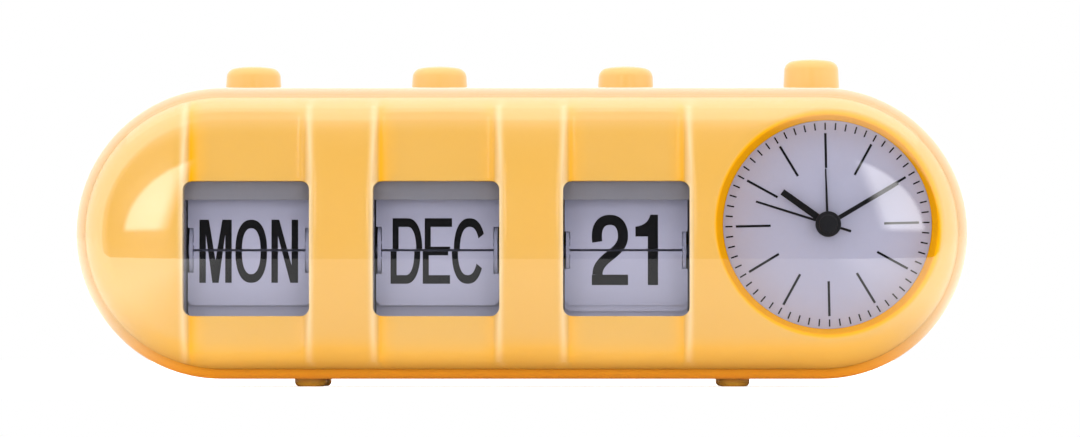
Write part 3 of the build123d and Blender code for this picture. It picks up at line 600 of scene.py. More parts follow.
@dataclass(frozen=True)
class Body:
    """Outer form: a pill seen from the front, crowned in front, flat behind."""

    width: float = 205.0 * MM
    height: float = 67.0 * MM
    front: float = -30.0 * MM
    back: float = 30.0 * MM
    foot_drop: float = 1.8 * MM
    crown: float = 110.0 * MM
    edge: float = 10.0 * MM
    parting: float = -15.0 * MM
    turn_steps: int = 72

    @property
    def end_radius(self) -> float:
        """Radius of the round ends."""
        return self.height / 2

    @property
    def half_straight(self) -> float:
        """Half the straight length between the round ends."""
        return self.width / 2 - self.end_radius

    @property
    def middle(self) -> float:
        """Height of the middle above the floor."""
        return self.foot_drop + self.end_radius

    @property
    def lean(self) -> float:
        """Angle at which the crown passes into the edge."""
        return math.asin((self.end_radius - self.edge) / (self.crown - self.edge))

    @property
    def crown_centre(self) -> float:
        """Depth of the crown's centre."""
        return self.front + self.crown

    @property
    def edge_centre(self) -> float:
        """Depth of the edge's centre."""
        return self.crown_centre - (self.crown - self.edge) * math.cos(self.lean)

    def half_section(self, inset: float, stop: float, steps: tuple[int, int]) -> np.ndarray:
        """Half section from the middle line outwards and back: crown arc, edge arc, straight side.

        Args:
            inset: distance inside the outer form.
            stop: depth at which the side ends.
            steps: points on the crown and on the edge.

        Returns:
            Rows of radius and depth.
        """
        crown = np.linspace(0, self.lean, steps[0])
        radius = self.crown - inset
        top = np.stack([radius * np.sin(crown), self.crown_centre - radius * np.cos(crown)], axis=-1)
        edge = np.linspace(self.lean, np.pi / 2, steps[1])[1:]
        radius = self.edge - inset
        middle = self.end_radius - self.edge
        bend = np.stack([middle + radius * np.sin(edge), self.edge_centre - radius * np.cos(edge)], axis=-1)
        side = np.array([[self.end_radius - inset, stop]])
        return np.concatenate([top, bend, side])

    def carried(self, section: np.ndarray) -> np.ndarray:
        """Carry a half section round the pill.

        Point (i, j) lies at section radius j from the centre line, in the direction of step i. The
        direction turns half a circle about each end, and the straight runs join the two half circles.

        Args:
            section: rows of radius and depth.

        Returns:
            Array of steps, section points and three coordinates.
        """
        right = np.linspace(np.pi / 2, -np.pi / 2, self.turn_steps)
        angle = np.concatenate([right, right - np.pi])
        centre = np.repeat([self.half_straight, -self.half_straight], self.turn_steps)
        radius = section[None, :, 0]
        x = centre[:, None] + radius * np.cos(angle)[:, None]
        z = self.middle + radius * np.sin(angle)[:, None]
        y = np.broadcast_to(section[None, :, 1], x.shape)
        return np.stack([x, y, z], axis=-1)


@dataclass(frozen=True)
class ClearCover:
    """Clear domed cover: a closed shell whose rim stands just clear of the case."""

    body: Body = Body()
    wall: float = 2.0 * MM
    rim_gap: float = 0.06 * MM
    arc_steps: tuple[int, int] = (40, 24)

    def build(self) -> bpy.types.Object:
        """Carry the outer half section, the rim and the inner half section round the pill as one skin.

        Returns:
            The cover.
        """
        rim = self.body.parting - self.rim_gap
        outer = self.body.half_section(0.0, rim, self.arc_steps)
        inner = self.body.half_section(self.wall, rim, self.arc_steps)
        section = np.concatenate([outer, inner[::-1]])
        return Grid.sheet("cover_shell", self.body.carried(section), wrap_rows=True)

    def dress(self) -> None:
        """Build the cover and polish it."""
        dress(self.build(), Finish.COVER, HOUSING, "clear_plastic", "clear_cover")


def soft_max(first: np.ndarray, second: np.ndarray, width: float) -> np.ndarray:
    """The larger of two values, with the corner between them rounded over about width."""
    return 0.5 * (first + second + np.sqrt((first - second) ** 2 + width**2))


@dataclass(frozen=True)
class Loop:
    """A closed outline in the front plane with its outward directions."""

    x: np.ndarray
    z: np.ndarray
    out_x: np.ndarray
    out_z: np.ndarray
    CORNER_STEPS: ClassVar[int] = 9
    SIDE_STEPS: ClassVar[int] = 24

    @classmethod
    def rounded_box(cls, centre: tuple[float, float], half: tuple[float, float], corner: float) -> Loop:
        """Outline of a box with round corners: four quarter arcs joined by points along the sides.

        Args:
            centre: middle of the box.
            half: half its width and half its height.
            corner: radius of its corners.

        Returns:
            The outline, anticlockwise from its right side.
        """
        angle = (np.arange(4)[:, None] * 90 + np.linspace(0, 90, cls.CORNER_STEPS)[None, :]) * np.pi / 180
        sign_x = np.array([1, -1, -1, 1])[:, None]
        sign_z = np.array([1, 1, -1, -1])[:, None]
        corner_x = centre[0] + sign_x * (half[0] - corner) + corner * np.cos(angle)
        corner_z = centre[1] + sign_z * (half[1] - corner) + corner * np.sin(angle)
        along = np.linspace(0, 1, cls.SIDE_STEPS + 2)[None, 1:-1]
        next_x = np.roll(corner_x[:, 0], -1)[:, None]
        next_z = np.roll(corner_z[:, 0], -1)[:, None]
        side_x = corner_x[:, -1:] * (1 - along) + next_x * along
        side_z = corner_z[:, -1:] * (1 - along) + next_z * along
        facing = np.concatenate([angle, np.repeat(angle[:, -1:], along.size, axis=1)], axis=1).ravel()
        x = np.concatenate([corner_x, side_x], axis=1).ravel()
        z = np.concatenate([corner_z, side_z], axis=1).ravel()
        return cls(x, z, np.cos(facing), np.sin(facing))

    @classmethod
    def circle(cls, centre: tuple[float, float], radius: float, steps: int) -> Loop:
        """Outline of a circle.

        Args:
            centre: its centre.
            radius: its radius.
            steps: number of points.

        Returns:
            The outline, anticlockwise from its right side.
        """
        angle = np.linspace(0, 2 * np.pi, steps, endpoint=False)
        across = np.cos(angle)
        up = np.sin(angle)
        return cls(centre[0] + radius * across, centre[1] + radius * up, across, up)

    def grown(self, margin: float) -> tuple[np.ndarray, np.ndarray]:
        """The outline moved outwards by margin."""
        return self.x + margin * self.out_x, self.z + margin * self.out_z


@dataclass(frozen=True)
class Fascia:
    """Yellow front shell: a dome with three vertical channels, their windows and the dial's funnel."""

    body: Body = Body()
    inset: float = 2.3 * MM
    rim: float = -8.0 * MM
    floor: float = -23.2 * MM
    floor_back: float = -21.4 * MM
    floor_half: float = 13.3 * MM
    mouth_half: float = 14.9 * MM
    depth: float = 4.5 * MM
    lip: float = 1.4 * MM
    foot: float = 2.2 * MM
    rim_fade: float = 2.0 * MM
    window_half: tuple[float, float] = (14.4 * MM, 15.4 * MM)
    window_corner: float = 2.0 * MM
    window_z: float = 31.6 * MM
    window_edge: float = 0.35 * MM
    mouth: float = 25.7 * MM
    opening: float = 23.9 * MM
    funnel_lip: float = 0.6 * MM
    wall: float = 1.2 * MM
    # Where the painted shade deepens the yellow and where the painted highlight pales it.
    hollow_reach: tuple[float, float] = (9.4 * MM, 12.9 * MM)
    hollow_shade_by_side: tuple[float, float] = (0.75, 0.5)
    hollow_power: float = 1.6
    hollow_fade: float = 0.6 * MM
    ridge_line: float = 14.3 * MM
    ridge_spread: float = 0.8 * MM
    # How finely the front is meshed.
    field_step: float = 1.6 * MM
    field_gap: float = 1.0 * MM
    ring_gap: float = 0.5 * MM
    ring_step: float = 1.5 * MM
    ring_levels: tuple[int, int] = (14, 5)
    ring_turn: int = 60
    wall_columns_mm: tuple[float, float, int] = (-4.2, 4.0, 36)
    wall_rows_mm: tuple[float, float, float] = (-29.5, 29.6, 0.8)
    wall_end: float = 30.0 * MM
    border_turn: int = 90
    funnel_turn: int = 180
    clear_round: float = 0.25 * MM
    merge: float = 0.02 * MM
    join_mm: float = 1e-4
    jamb_steps: int = 6
    lip_steps: int = 8
    cone_steps: int = 6

    @property
    def crown(self) -> float:
        """Radius of the fascia's crown."""
        return self.body.crown - self.inset

    @property
    def edge(self) -> float:
        """Radius of the fascia's rounded edge."""
        return self.body.edge - self.inset

    @property
    def edge_middle(self) -> float:
        """Distance of the edge's centre from the middle line."""
        return self.body.end_radius - self.body.edge

    @property
    def marks(self) -> tuple[float, float, float]:
        """Lengths along the section from the middle line.

        Returns:
            Where the crown ends, where the edge ends and where the side ends.
        """
        first = self.crown * self.body.lean
        second = first + self.edge * (math.pi / 2 - self.body.lean)
        return first, second, second + self.rim - self.body.edge_centre

    def along(self, radius: np.ndarray) -> np.ndarray:
        """Length along the section at a distance from the middle line, up to the edge's end.

        Args:
            radius: distances from the middle line.

        Returns:
            Lengths: the crown's angle times its radius, then the edge's angle times its radius.
        """
        first = self.marks[0]
        on_crown = self.crown * np.arcsin(np.clip(radius / self.crown, -1, 1))
        turn = np.arcsin(np.clip((radius - self.edge_middle) / self.edge, -1, 1))
        return np.where(on_crown <= first, on_crown, first + self.edge * (turn - self.body.lean))

    def unrolled(self, x: np.ndarray, z: np.ndarray) -> np.ndarray:
        """Spread points of the front plane out flat, so that the edge and side can be meshed too.

        Args:
            x: places across the front.
            z: heights.

        Returns:
            Rows of unrolled coordinates: each point keeps its direction from the middle line, and its
            distance becomes the length along the section.
        """
        centre = np.clip(x, -self.body.half_straight, self.body.half_straight)
        across = x - centre
        up = z - self.body.middle
        radius = np.hypot(across, up)
        stretch = self.along(radius) / np.maximum(radius, TINY)
        return np.stack([centre + across * stretch, up * stretch], axis=-1)

    def rolled(self, flat: np.ndarray) -> np.ndarray:
        """Bend flat points back round the section, and sink the channels into the result.

        The depth is the larger of the dome's depth and the channel's depth, with a round lip between.

        Args:
            flat: rows of unrolled coordinates.

        Returns:
            Rows of three coordinates.
        """
        first, second, _ = self.marks
        centre = np.clip(flat[:, 0], -self.body.half_straight, self.body.half_straight)
        across = flat[:, 0] - centre
        length = np.hypot(across, flat[:, 1])
        turn = np.clip(self.body.lean + (length - first) / self.edge, self.body.lean, np.pi / 2)
        past = np.maximum(length - second, 0)
        on_crown = length <= first
        angle = length / self.crown
        radius = np.where(on_crown, self.crown * np.sin(angle), self.edge_middle + self.edge * np.sin(turn))
        deep_crown = self.body.crown_centre - self.crown * np.cos(angle)
        deep_edge = self.body.edge_centre - self.edge * np.cos(turn) + past
        shrink = radius / np.maximum(length, TINY)
        x = centre + across * shrink
        z = self.body.middle + flat[:, 1] * shrink
        y = np.where(on_crown, deep_crown, deep_edge)
        fade = np.clip((length - second + self.rim_fade) / self.rim_fade, 0, 1)
        return np.stack([x, y + (1 - fade) * (self.sunk(x, y) - y), z], axis=-1)

    def sunk(self, x: np.ndarray, dome: np.ndarray) -> np.ndarray:
        """Depth of the dome with the channels cut into it.

        Each channel is a floor with walls that rise by depth over the run from floor_half to mouth_half.

        Args:
            x: places across the front.
            dome: the dome's depth there.

        Returns:
            The depths after the cut.
        """
        steep = self.depth / (self.mouth_half - self.floor_half)
        off = np.min(np.abs(x[:, None] - np.array(COLUMNS)[None, :]), axis=1)
        rise = soft_max((off - self.floor_half) * steep, np.zeros_like(off), self.foot)
        return soft_max(dome, self.floor - rise, self.lip)

    def on_front(self, x: np.ndarray, z: np.ndarray) -> np.ndarray:
        """Points of the finished front at places of the front plane."""
        return self.rolled(self.unrolled(x, z))

    def windows(self) -> list[Loop]:
        """Outlines of the three windows."""
        middles = [(x, self.window_z) for x in COLUMNS]
        return [Loop.rounded_box(middle, self.window_half, self.window_corner) for middle in middles]

    def scatter(self) -> np.ndarray:
        """Flat points inside the outline: an even field, dense columns along the walls, rings on the edge.

        Returns:
            Rows of unrolled coordinates.
        """
        half = self.body.half_straight
        first, second, last = self.marks
        reach = half + last
        across, up = (np.arange(-end, end, self.field_step) for end in (reach, last))
        field = np.stack(np.meshgrid(across, up), axis=-1).reshape(-1, 2)
        offsets = np.linspace(*self.wall_columns_mm) * MM + self.mouth_half
        walls = np.concatenate([x + side * offsets for x in COLUMNS for side in (-1, 1)])
        heights = np.arange(*self.wall_rows_mm) * MM + self.body.middle
        wall_x, wall_z = (places.ravel() for places in np.meshgrid(walls, heights))
        held = np.hypot(wall_x - np.clip(wall_x, -half, half), wall_z - self.body.middle) < self.wall_end
        columns = self.unrolled(wall_x[held], wall_z[held])
        on_edge, on_side = self.ring_levels
        side_levels = np.linspace(second, last, on_side)[1:-1]
        levels = np.concatenate([np.linspace(first, second, on_edge), side_levels])
        angle = np.linspace(np.pi / 2, -np.pi / 2, self.ring_turn)
        run = np.arange(-half, half, self.ring_step)
        ring_x = np.concatenate([half + 0 * angle, -half + 0 * angle, run, run])
        out_x = np.concatenate([np.cos(angle), -np.cos(angle), 0 * run, 0 * run])
        out_z = np.concatenate([np.sin(angle), np.sin(angle), 0 * run + 1, 0 * run - 1])
        rings = np.stack(
            [ring_x[None, :] + levels[:, None] * out_x[None, :], levels[:, None] * out_z[None, :]], axis=-1
        ).reshape(-1, 2)
        near = np.abs(field[:, 0, None] - walls[None, :]).min(axis=1) < self.field_gap
        length = np.hypot(field[:, 0] - np.clip(field[:, 0], -half, half), field[:, 1])
        field = field[~near & (length < first - self.ring_gap)]
        return np.concatenate([field, columns, rings])

    def open_at(self, flat: np.ndarray, margin: float) -> np.ndarray:
        """Tell which flat points lie in a window or in the funnel, grown by margin.

        Args:
            flat: rows of unrolled coordinates.
            margin: how far outside the opening still counts.

        Returns:
            True for each point that lies in an opening.
        """
        place = self.rolled(flat)
        away = np.hypot(place[:, 0] - DIAL_CENTRE[0], place[:, 2] - DIAL_CENTRE[1])
        inside = away < self.mouth + self.funnel_lip + margin
        grow = self.window_edge + margin
        half = np.array(self.window_half) - self.window_corner
        for x in COLUMNS:
            away = np.abs(place[:, [0, 2]] - np.array([x, self.window_z])) - half
            outside = np.hypot(*np.maximum(away, 0).T) + np.minimum(away.max(axis=1), 0)
            inside |= outside < self.window_corner + grow
        return inside

    def build(self) -> bpy.types.Object:
        """Mesh the front between its outlines, then carry a rounded jamb round each opening.

        Returns:
            The fascia, with a wall on its hidden side.
        """
        half = self.body.half_straight
        angle = np.linspace(np.pi / 2, -np.pi / 2, self.border_turn)
        ends = np.concatenate([angle, angle - np.pi])
        centre = np.repeat([half, -half], self.border_turn)
        last = self.marks[2]
        border = np.stack([centre + last * np.cos(ends), last * np.sin(ends)], axis=-1)
        loops = self.windows()
        funnel = Loop.circle(DIAL_CENTRE, self.mouth, self.funnel_turn)
        holes = [self.unrolled(*loop.grown(self.window_edge)) for loop in loops]
        holes.append(self.unrolled(*funnel.grown(self.funnel_lip)))
        inner = self.scatter()
        inner = inner[~self.open_at(inner, self.clear_round)]
        flat = np.concatenate([border, *holes, inner])
        edges = []
        start = 0
        for outline in [border, *holes]:
            index = np.arange(len(outline))
            edges.append(np.stack([index, np.roll(index, -1)], axis=-1) + start)
            start += len(outline)
        corners = [Vector(point) for point in (flat / MM).tolist()]
        found = delaunay_2d_cdt(corners, np.concatenate(edges).tolist(), [], 1, self.join_mm)
        flat = np.array([list(point) for point in found[0]]) * MM
        triangles = np.array(found[2])
        middles = flat[triangles].mean(axis=1)
        triangles = triangles[~self.open_at(middles, -self.merge)]
        points = [self.rolled(flat)]
        faces = [triangles]
        start = len(flat)
        for skin in [self.jamb(loop) for loop in loops] + [self.cone(funnel)]:
            rows, columns = skin.shape[:2]
            points.append(skin.reshape(-1, 3))
            faces.append(Grid.quads(rows, columns, False, True) + start)
            start += rows * columns
        piece = Grid.mesh("fascia_shell", np.concatenate(points), faces, merge=self.merge)
        normals = np.empty(len(piece.data.polygons) * 3)
        piece.data.polygons.foreach_get("normal", normals)
        if normals[1::3].mean() > 0:
            piece.data.flip_normals()
        self.mark_painted_light(piece)
        back = piece.modifiers.new("wall", "SOLIDIFY")
        back.thickness = self.wall
        back.offset = -1.0
        return piece

    def mark_painted_light(self, piece: bpy.types.Object) -> None:
        """Keep, for each point, how far it is a ridge (up to 1) or a hollow (down to -1).

        The edge of a channel's floor is a hollow that grows outwards, and its lip is a ridge, a bell curve
        of the distance from the channel's middle. Both follow the channel's depth. The hollows take the
        material's painted shade and the ridges its painted highlight. The painted shade is one-sided: the
        further a channel lies to the left, the deeper its left hollow and the shallower its right one. The
        dial's funnel is a hollow, in painted shade.

        Args:
            piece: the fascia.
        """
        place = np.empty(len(piece.data.vertices) * 3)
        piece.data.vertices.foreach_get("co", place)
        x, _, z = place.reshape(-1, 3).T
        dome = self.body.crown_centre - np.sqrt(np.maximum(self.crown**2 - (z - self.body.middle) ** 2, 0))
        share = np.clip((self.floor - dome) / self.depth, 0, 1)
        columns = np.array(COLUMNS)
        column = columns[np.argmin(np.abs(x[:, None] - columns[None, :]), axis=1)]
        off = np.abs(x - column)
        far = (columns[-1] - column) / (columns[-1] - columns[0])
        # The painted shade is heavier in the left hollows of the channels on the left.
        shade_by_side = self.hollow_shade_by_side[0] - self.hollow_shade_by_side[1] * far * np.sign(x - column)
        start, end = self.hollow_reach
        hollow = np.clip((off - start) / (end - start), 0, 1) ** self.hollow_power
        hollow *= shade_by_side * np.clip((end + self.hollow_fade - off) / self.hollow_fade, 0, 1)
        ridge = np.exp(-(((off - self.ridge_line) / self.ridge_spread) ** 2))
        away = np.hypot(x - DIAL_CENTRE[0], z - DIAL_CENTRE[1])
        cone = np.clip((self.mouth + self.funnel_lip - away) / self.funnel_lip, 0, 1)
        relief = (ridge - hollow) * np.sqrt(share)
        relief = np.where(away < self.mouth + self.funnel_lip, -cone, relief)
        layer = piece.data.attributes.new("relief", "FLOAT", "POINT")
        layer.data.foreach_set("value", relief.astype(np.float32))

    def jamb(self, loop: Loop) -> np.ndarray:
        """Carry a quarter round and a straight jamb round a window, from the front to the floor's back.

        Args:
            loop: the window's outline.

        Returns:
            Array of profile steps, outline points and three coordinates.
        """
        turn = np.linspace(0, np.pi / 2, self.jamb_steps)[:, None]
        margin = self.window_edge * (1 - np.sin(turn))
        sink = self.window_edge * (1 - np.cos(turn))
        top = self.on_front(*loop.grown(self.window_edge))[:, 1]
        y = np.concatenate([top[None, :] + sink, np.full((1, loop.x.size), self.floor_back)])
        margin = np.concatenate([margin, np.zeros((1, 1))])
        x = loop.x[None, :] + margin * loop.out_x[None, :]
        z = loop.z[None, :] + margin * loop.out_z[None, :]
        return np.stack([x, y, z], axis=-1)

    def cone(self, loop: Loop) -> np.ndarray:
        """Carry a rounded lip and a cone round the dial, from the front to the dial's face.

        Args:
            loop: the funnel's mouth.

        Returns:
            Array of profile steps, outline points and three coordinates.
        """
        top = self.on_front(*loop.grown(self.funnel_lip))[:, 1][None, :]
        turn = np.linspace(0, np.pi / 2, self.lip_steps)[:, None]
        y = top + self.funnel_lip * (1 - np.cos(turn))
        fall = np.linspace(0, 1, self.cone_steps + 1)[1:, None]
        y = np.concatenate([y, y[-1:] * (1 - fall) + DIAL_FACE * fall])
        lip = np.concatenate([self.funnel_lip * (1 - np.sin(turn)), 0 * fall])
        front = self.body.front + self.inset
        slope = (self.mouth - self.opening) / (DIAL_FACE - front)
        radius = self.opening + slope * (DIAL_FACE - y) + lip
        radius[0] = self.mouth + self.funnel_lip
        x = DIAL_CENTRE[0] + radius * loop.out_x[None, :]
        z = DIAL_CENTRE[1] + radius * loop.out_z[None, :]
        return np.stack([x, y, z], axis=-1)

    def dress(self) -> None:
        """Build the fascia and give it its satin yellow."""
        dress(self.build(), Finish.FASCIA, HOUSING, "yellow_satin", "front_fascia")


@dataclass(frozen=True)
class Button:
    """Push button: a tapered cap with a crowned top, a retaining flange and a hollow inside."""

    name: str
    x: float
    rise: float = 5.7 * MM
    flange_gap: float = 0.3 * MM
    case_top: float = 68.8 * MM
    case_wall: float = 2.2 * MM
    radius: float = 6.7 * MM
    draft: float = 0.4 * MM
    edge: float = 2.2 * MM
    crown: float = 24.0 * MM
    flange: float = 0.9 * MM
    flange_height: float = 1.3 * MM
    wall: float = 1.4 * MM
    boss: float = 3.3 * MM
    stem: float = 2.0 * MM
    soften: float = 0.15 * MM
    taper_end: float = 0.02 * MM
    arc_steps: int = 14
    sides: int = 72
    sharp: float = 40.0

    def build(self) -> bpy.types.Object:
        """Turn the cap's section about its upright axis.

        The section runs from the crown's middle over the crown arc and the edge arc, down the tapered
        side, round the flange and up into the hollow, the boss and the stem's socket.

        Returns:
            The cap.
        """
        top = self.case_top + self.rise
        top_radius = self.radius - self.draft
        reach = self.crown - self.edge
        lean = math.asin((top_radius - self.edge) / reach)
        centre = top - self.crown
        edge_centre = centre + reach * math.cos(lean)
        flange_top = self.case_top - self.case_wall - self.flange_gap
        bottom = flange_top - self.flange_height
        outer = self.radius + self.flange
        inside = top - self.edge - self.wall
        hollow = top_radius - self.wall
        crown = arc((0.0, centre), self.crown, math.pi / 2, math.pi / 2 - lean, self.arc_steps)
        edge_place = (top_radius - self.edge, edge_centre)
        bend = arc(edge_place, self.edge, math.pi / 2 - lean, 0.0, self.arc_steps)[1:]
        skirt = np.array(
            [
                [self.radius - self.taper_end, flange_top + self.soften],
                [self.radius, flange_top],
                [outer - self.soften, flange_top],
                [outer, flange_top - self.soften],
                [outer, bottom + self.soften],
                [outer - self.soften, bottom],
                [hollow, bottom],
                [hollow, inside],
                [self.boss, inside],
                [self.boss, bottom],
                [self.stem, bottom],
                [self.stem, inside],
                [0.0, inside],
            ]
        )
        points = Grid.turned(np.concatenate([crown, bend, skirt]), self.sides)
        points[..., 0] += self.x
        piece = Grid.sheet(f"{self.name}_cap", points, wrap_rows=True)
        keep_sharp(piece, self.sharp)
        return piece

    def dress(self) -> None:
        """Build the cap and give it its yellow."""
        dress(self.build(), Finish.BUTTON, f"{self.name}_body", "yellow_plastic", self.name)


@dataclass(frozen=True)
class Foot:
    """Round foot: a pad with a rounded lower edge and a stub that plugs into the case."""

    radius: float = 3.7 * MM
    height: float = 1.8 * MM
    edge: float = 1.1 * MM
    stub: float = 1.5 * MM
    stub_height: float = 4.0 * MM
    spots: tuple[tuple[float, float], ...] = tuple(
        (x * MM, y * MM) for x in (-49.0, 49.0) for y in (-5.0, 17.0)
    )
    arc_steps: int = 9
    sides: int = 48
    sharp: float = 50.0

    def build(self) -> bpy.types.Object:
        """Turn the foot's section about its upright axis, once for each place.

        Returns:
            All four feet as one object.
        """
        bend = arc((self.radius - self.edge, self.edge), self.edge, -math.pi / 2, 0.0, self.arc_steps)
        rest = np.array(
            [
                [self.radius, self.height],
                [self.stub, self.height],
                [self.stub, self.height + self.stub_height],
                [0.0, self.height + self.stub_height],
            ]
        )
        section = np.concatenate([[[0.0, 0.0]], bend, rest])
        one = Grid.turned(section, self.sides)
        rows, columns = one.shape[:2]
        places = np.array([[x, y, 0.0] for x, y in self.spots])
        points = (one.reshape(1, -1, 3) + places[:, None, :]).reshape(-1, 3)
        cells = Grid.quads(rows, columns, True, False)
        faces = [cells + index * rows * columns for index in range(len(places))]
        piece = Grid.mesh("foot_pads", points, faces)
        keep_sharp(piece, self.sharp)
        return piece

    def dress(self) -> None:
        """Build the feet and give them their yellow."""
        dress(self.build(), Finish.FOOT, HOUSING, "yellow_plastic", "feet")


@dataclass(frozen=True)
class ReturnSpring:
    """Bent steel strip under a button: a flat foot, a round fold and a leg that the button presses flat."""

    name: str
    strip: float = 0.3 * MM
    fold: float = 0.4 * MM
    press: float = 3.0 * MM
    fold_steps: int = 14
    sharp: float = 40.0

    def line(self, low: tuple, high: tuple) -> np.ndarray:
        """Middle line of the strip, seen from the front.

        The fold is an arc from its lowest point round to where the leg leaves it along a tangent. The leg
        ends above the middle of the foot.

        Args:
            low: the lowest corner of the spring's box.
            high: its highest corner.

        Returns:
            Rows of the two coordinates across and up.
        """
        half = self.strip / 2
        centre = (low[0] + half + self.fold, low[2] + half + self.fold)
        end = ((low[0] + high[0]) / 2, high[2] - half)
        run, rise = end[0] - centre[0], end[1] - centre[1]
        leave = math.atan2(rise, run) + math.acos(self.fold / math.hypot(run, rise))
        bend = arc(centre, self.fold, 1.5 * math.pi, leave, self.fold_steps)
        foot = np.array([[high[0], low[2] + half]])
        return np.concatenate([foot, bend, [end]])

    def build(self) -> bpy.types.Object:
        """Carry the strip's flat section along its middle line.

        Returns:
            The spring, closed at both ends.
        """
        low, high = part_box(f"{self.name}_return_spring")
        line = self.line(low, high)
        along = np.gradient(line, axis=0)
        along /= np.linalg.norm(along, axis=1, keepdims=True)
        across = np.stack([-along[:, 1], along[:, 0]], axis=-1) * self.strip / 2
        sides = [line + across, line + across, line - across, line - across]
        depth = [low[1], high[1], high[1], low[1]]
        points = np.stack([np.insert(side, 1, y, axis=1) for side, y in zip(sides, depth)], axis=1)
        rows = len(line)
        ends = np.array([[0, 1, 2, 3], np.array([3, 2, 1, 0]) + 4 * (rows - 1)])
        piece = Grid.mesh(f"{self.name}_spring_strip", points, [Grid.quads(rows, 4, False, True), ends])
        keep_sharp(piece, self.sharp)
        return piece

    def dress(self) -> None:
        """Build the spring, dress it and give it its own copy of its mesh."""
        piece = dress(self.build(), Finish.SPRING, HOUSING, "spring_steel", f"{self.name}_return_spring")
        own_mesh(piece)


@dataclass(frozen=True)
class DialPrint:
    """Printed marks of the dial: hour lines and minute ticks."""

    ink: float = 0.03 * MM
    turn: float = 1.2
    hour_reach: tuple[float, float] = (13.0 * MM, 21.0 * MM)
    hour_width: float = 0.55 * MM
    minute_reach: tuple[float, float] = (21.75 * MM, 23.4 * MM)
    minute_width: float = 0.34 * MM

    def bars(self, degrees: np.ndarray, reach: tuple[float, float], width: float) -> np.ndarray:
        """Flat bars that point at the dial's centre.

        Args:
            degrees: direction of each bar, from the right, anticlockwise.
            reach: inner and outer radius of the bars.
            width: their width.

        Returns:
            Array of bars, eight corners each and three coordinates.
        """
        angle = np.radians(degrees)[:, None]
        along = np.array([reach[0], reach[1], reach[1], reach[0]] * 2)[None, :]
        across = np.array([-1, -1, 1, 1] * 2)[None, :] * width / 2
        x = DIAL_CENTRE[0] + along * np.cos(angle) - across * np.sin(angle)
        z = DIAL_CENTRE[1] + along * np.sin(angle) + across * np.cos(angle)
        y = np.broadcast_to(DIAL_FACE - np.array([1, 1, 1, 1, 0, 0, 0, 0]) * self.ink, x.shape)
        return np.stack([x, y, z], axis=-1)

    def build(self) -> bpy.types.Object:
        """Lay every bar on the dial as a very thin box.

        Returns:
            The print.
        """
        hours = self.bars(np.arange(12) * 30.0 + self.turn, self.hour_reach, self.hour_width)
        minutes = self.bars(np.arange(60) * 6.0 + self.turn, self.minute_reach, self.minute_width)
        points = np.concatenate([hours, minutes])
        box = np.array(
            [[0, 1, 2, 3], [7, 6, 5, 4], [0, 4, 5, 1], [1, 5, 6, 2], [2, 6, 7, 3], [3, 7, 4, 0]]
        )
        cells = (box[None] + 8 * np.arange(len(points))[:, None, None]).reshape(-1, 4)
        piece = Grid.mesh("dial_print", points.reshape(-1, 3), [cells])
        piece.data.shade_flat()
        return piece

    def dress(self) -> None:
        """Build the marks and ink them."""
        dress(self.build(), Finish.INK, HOUSING, "dial_print")


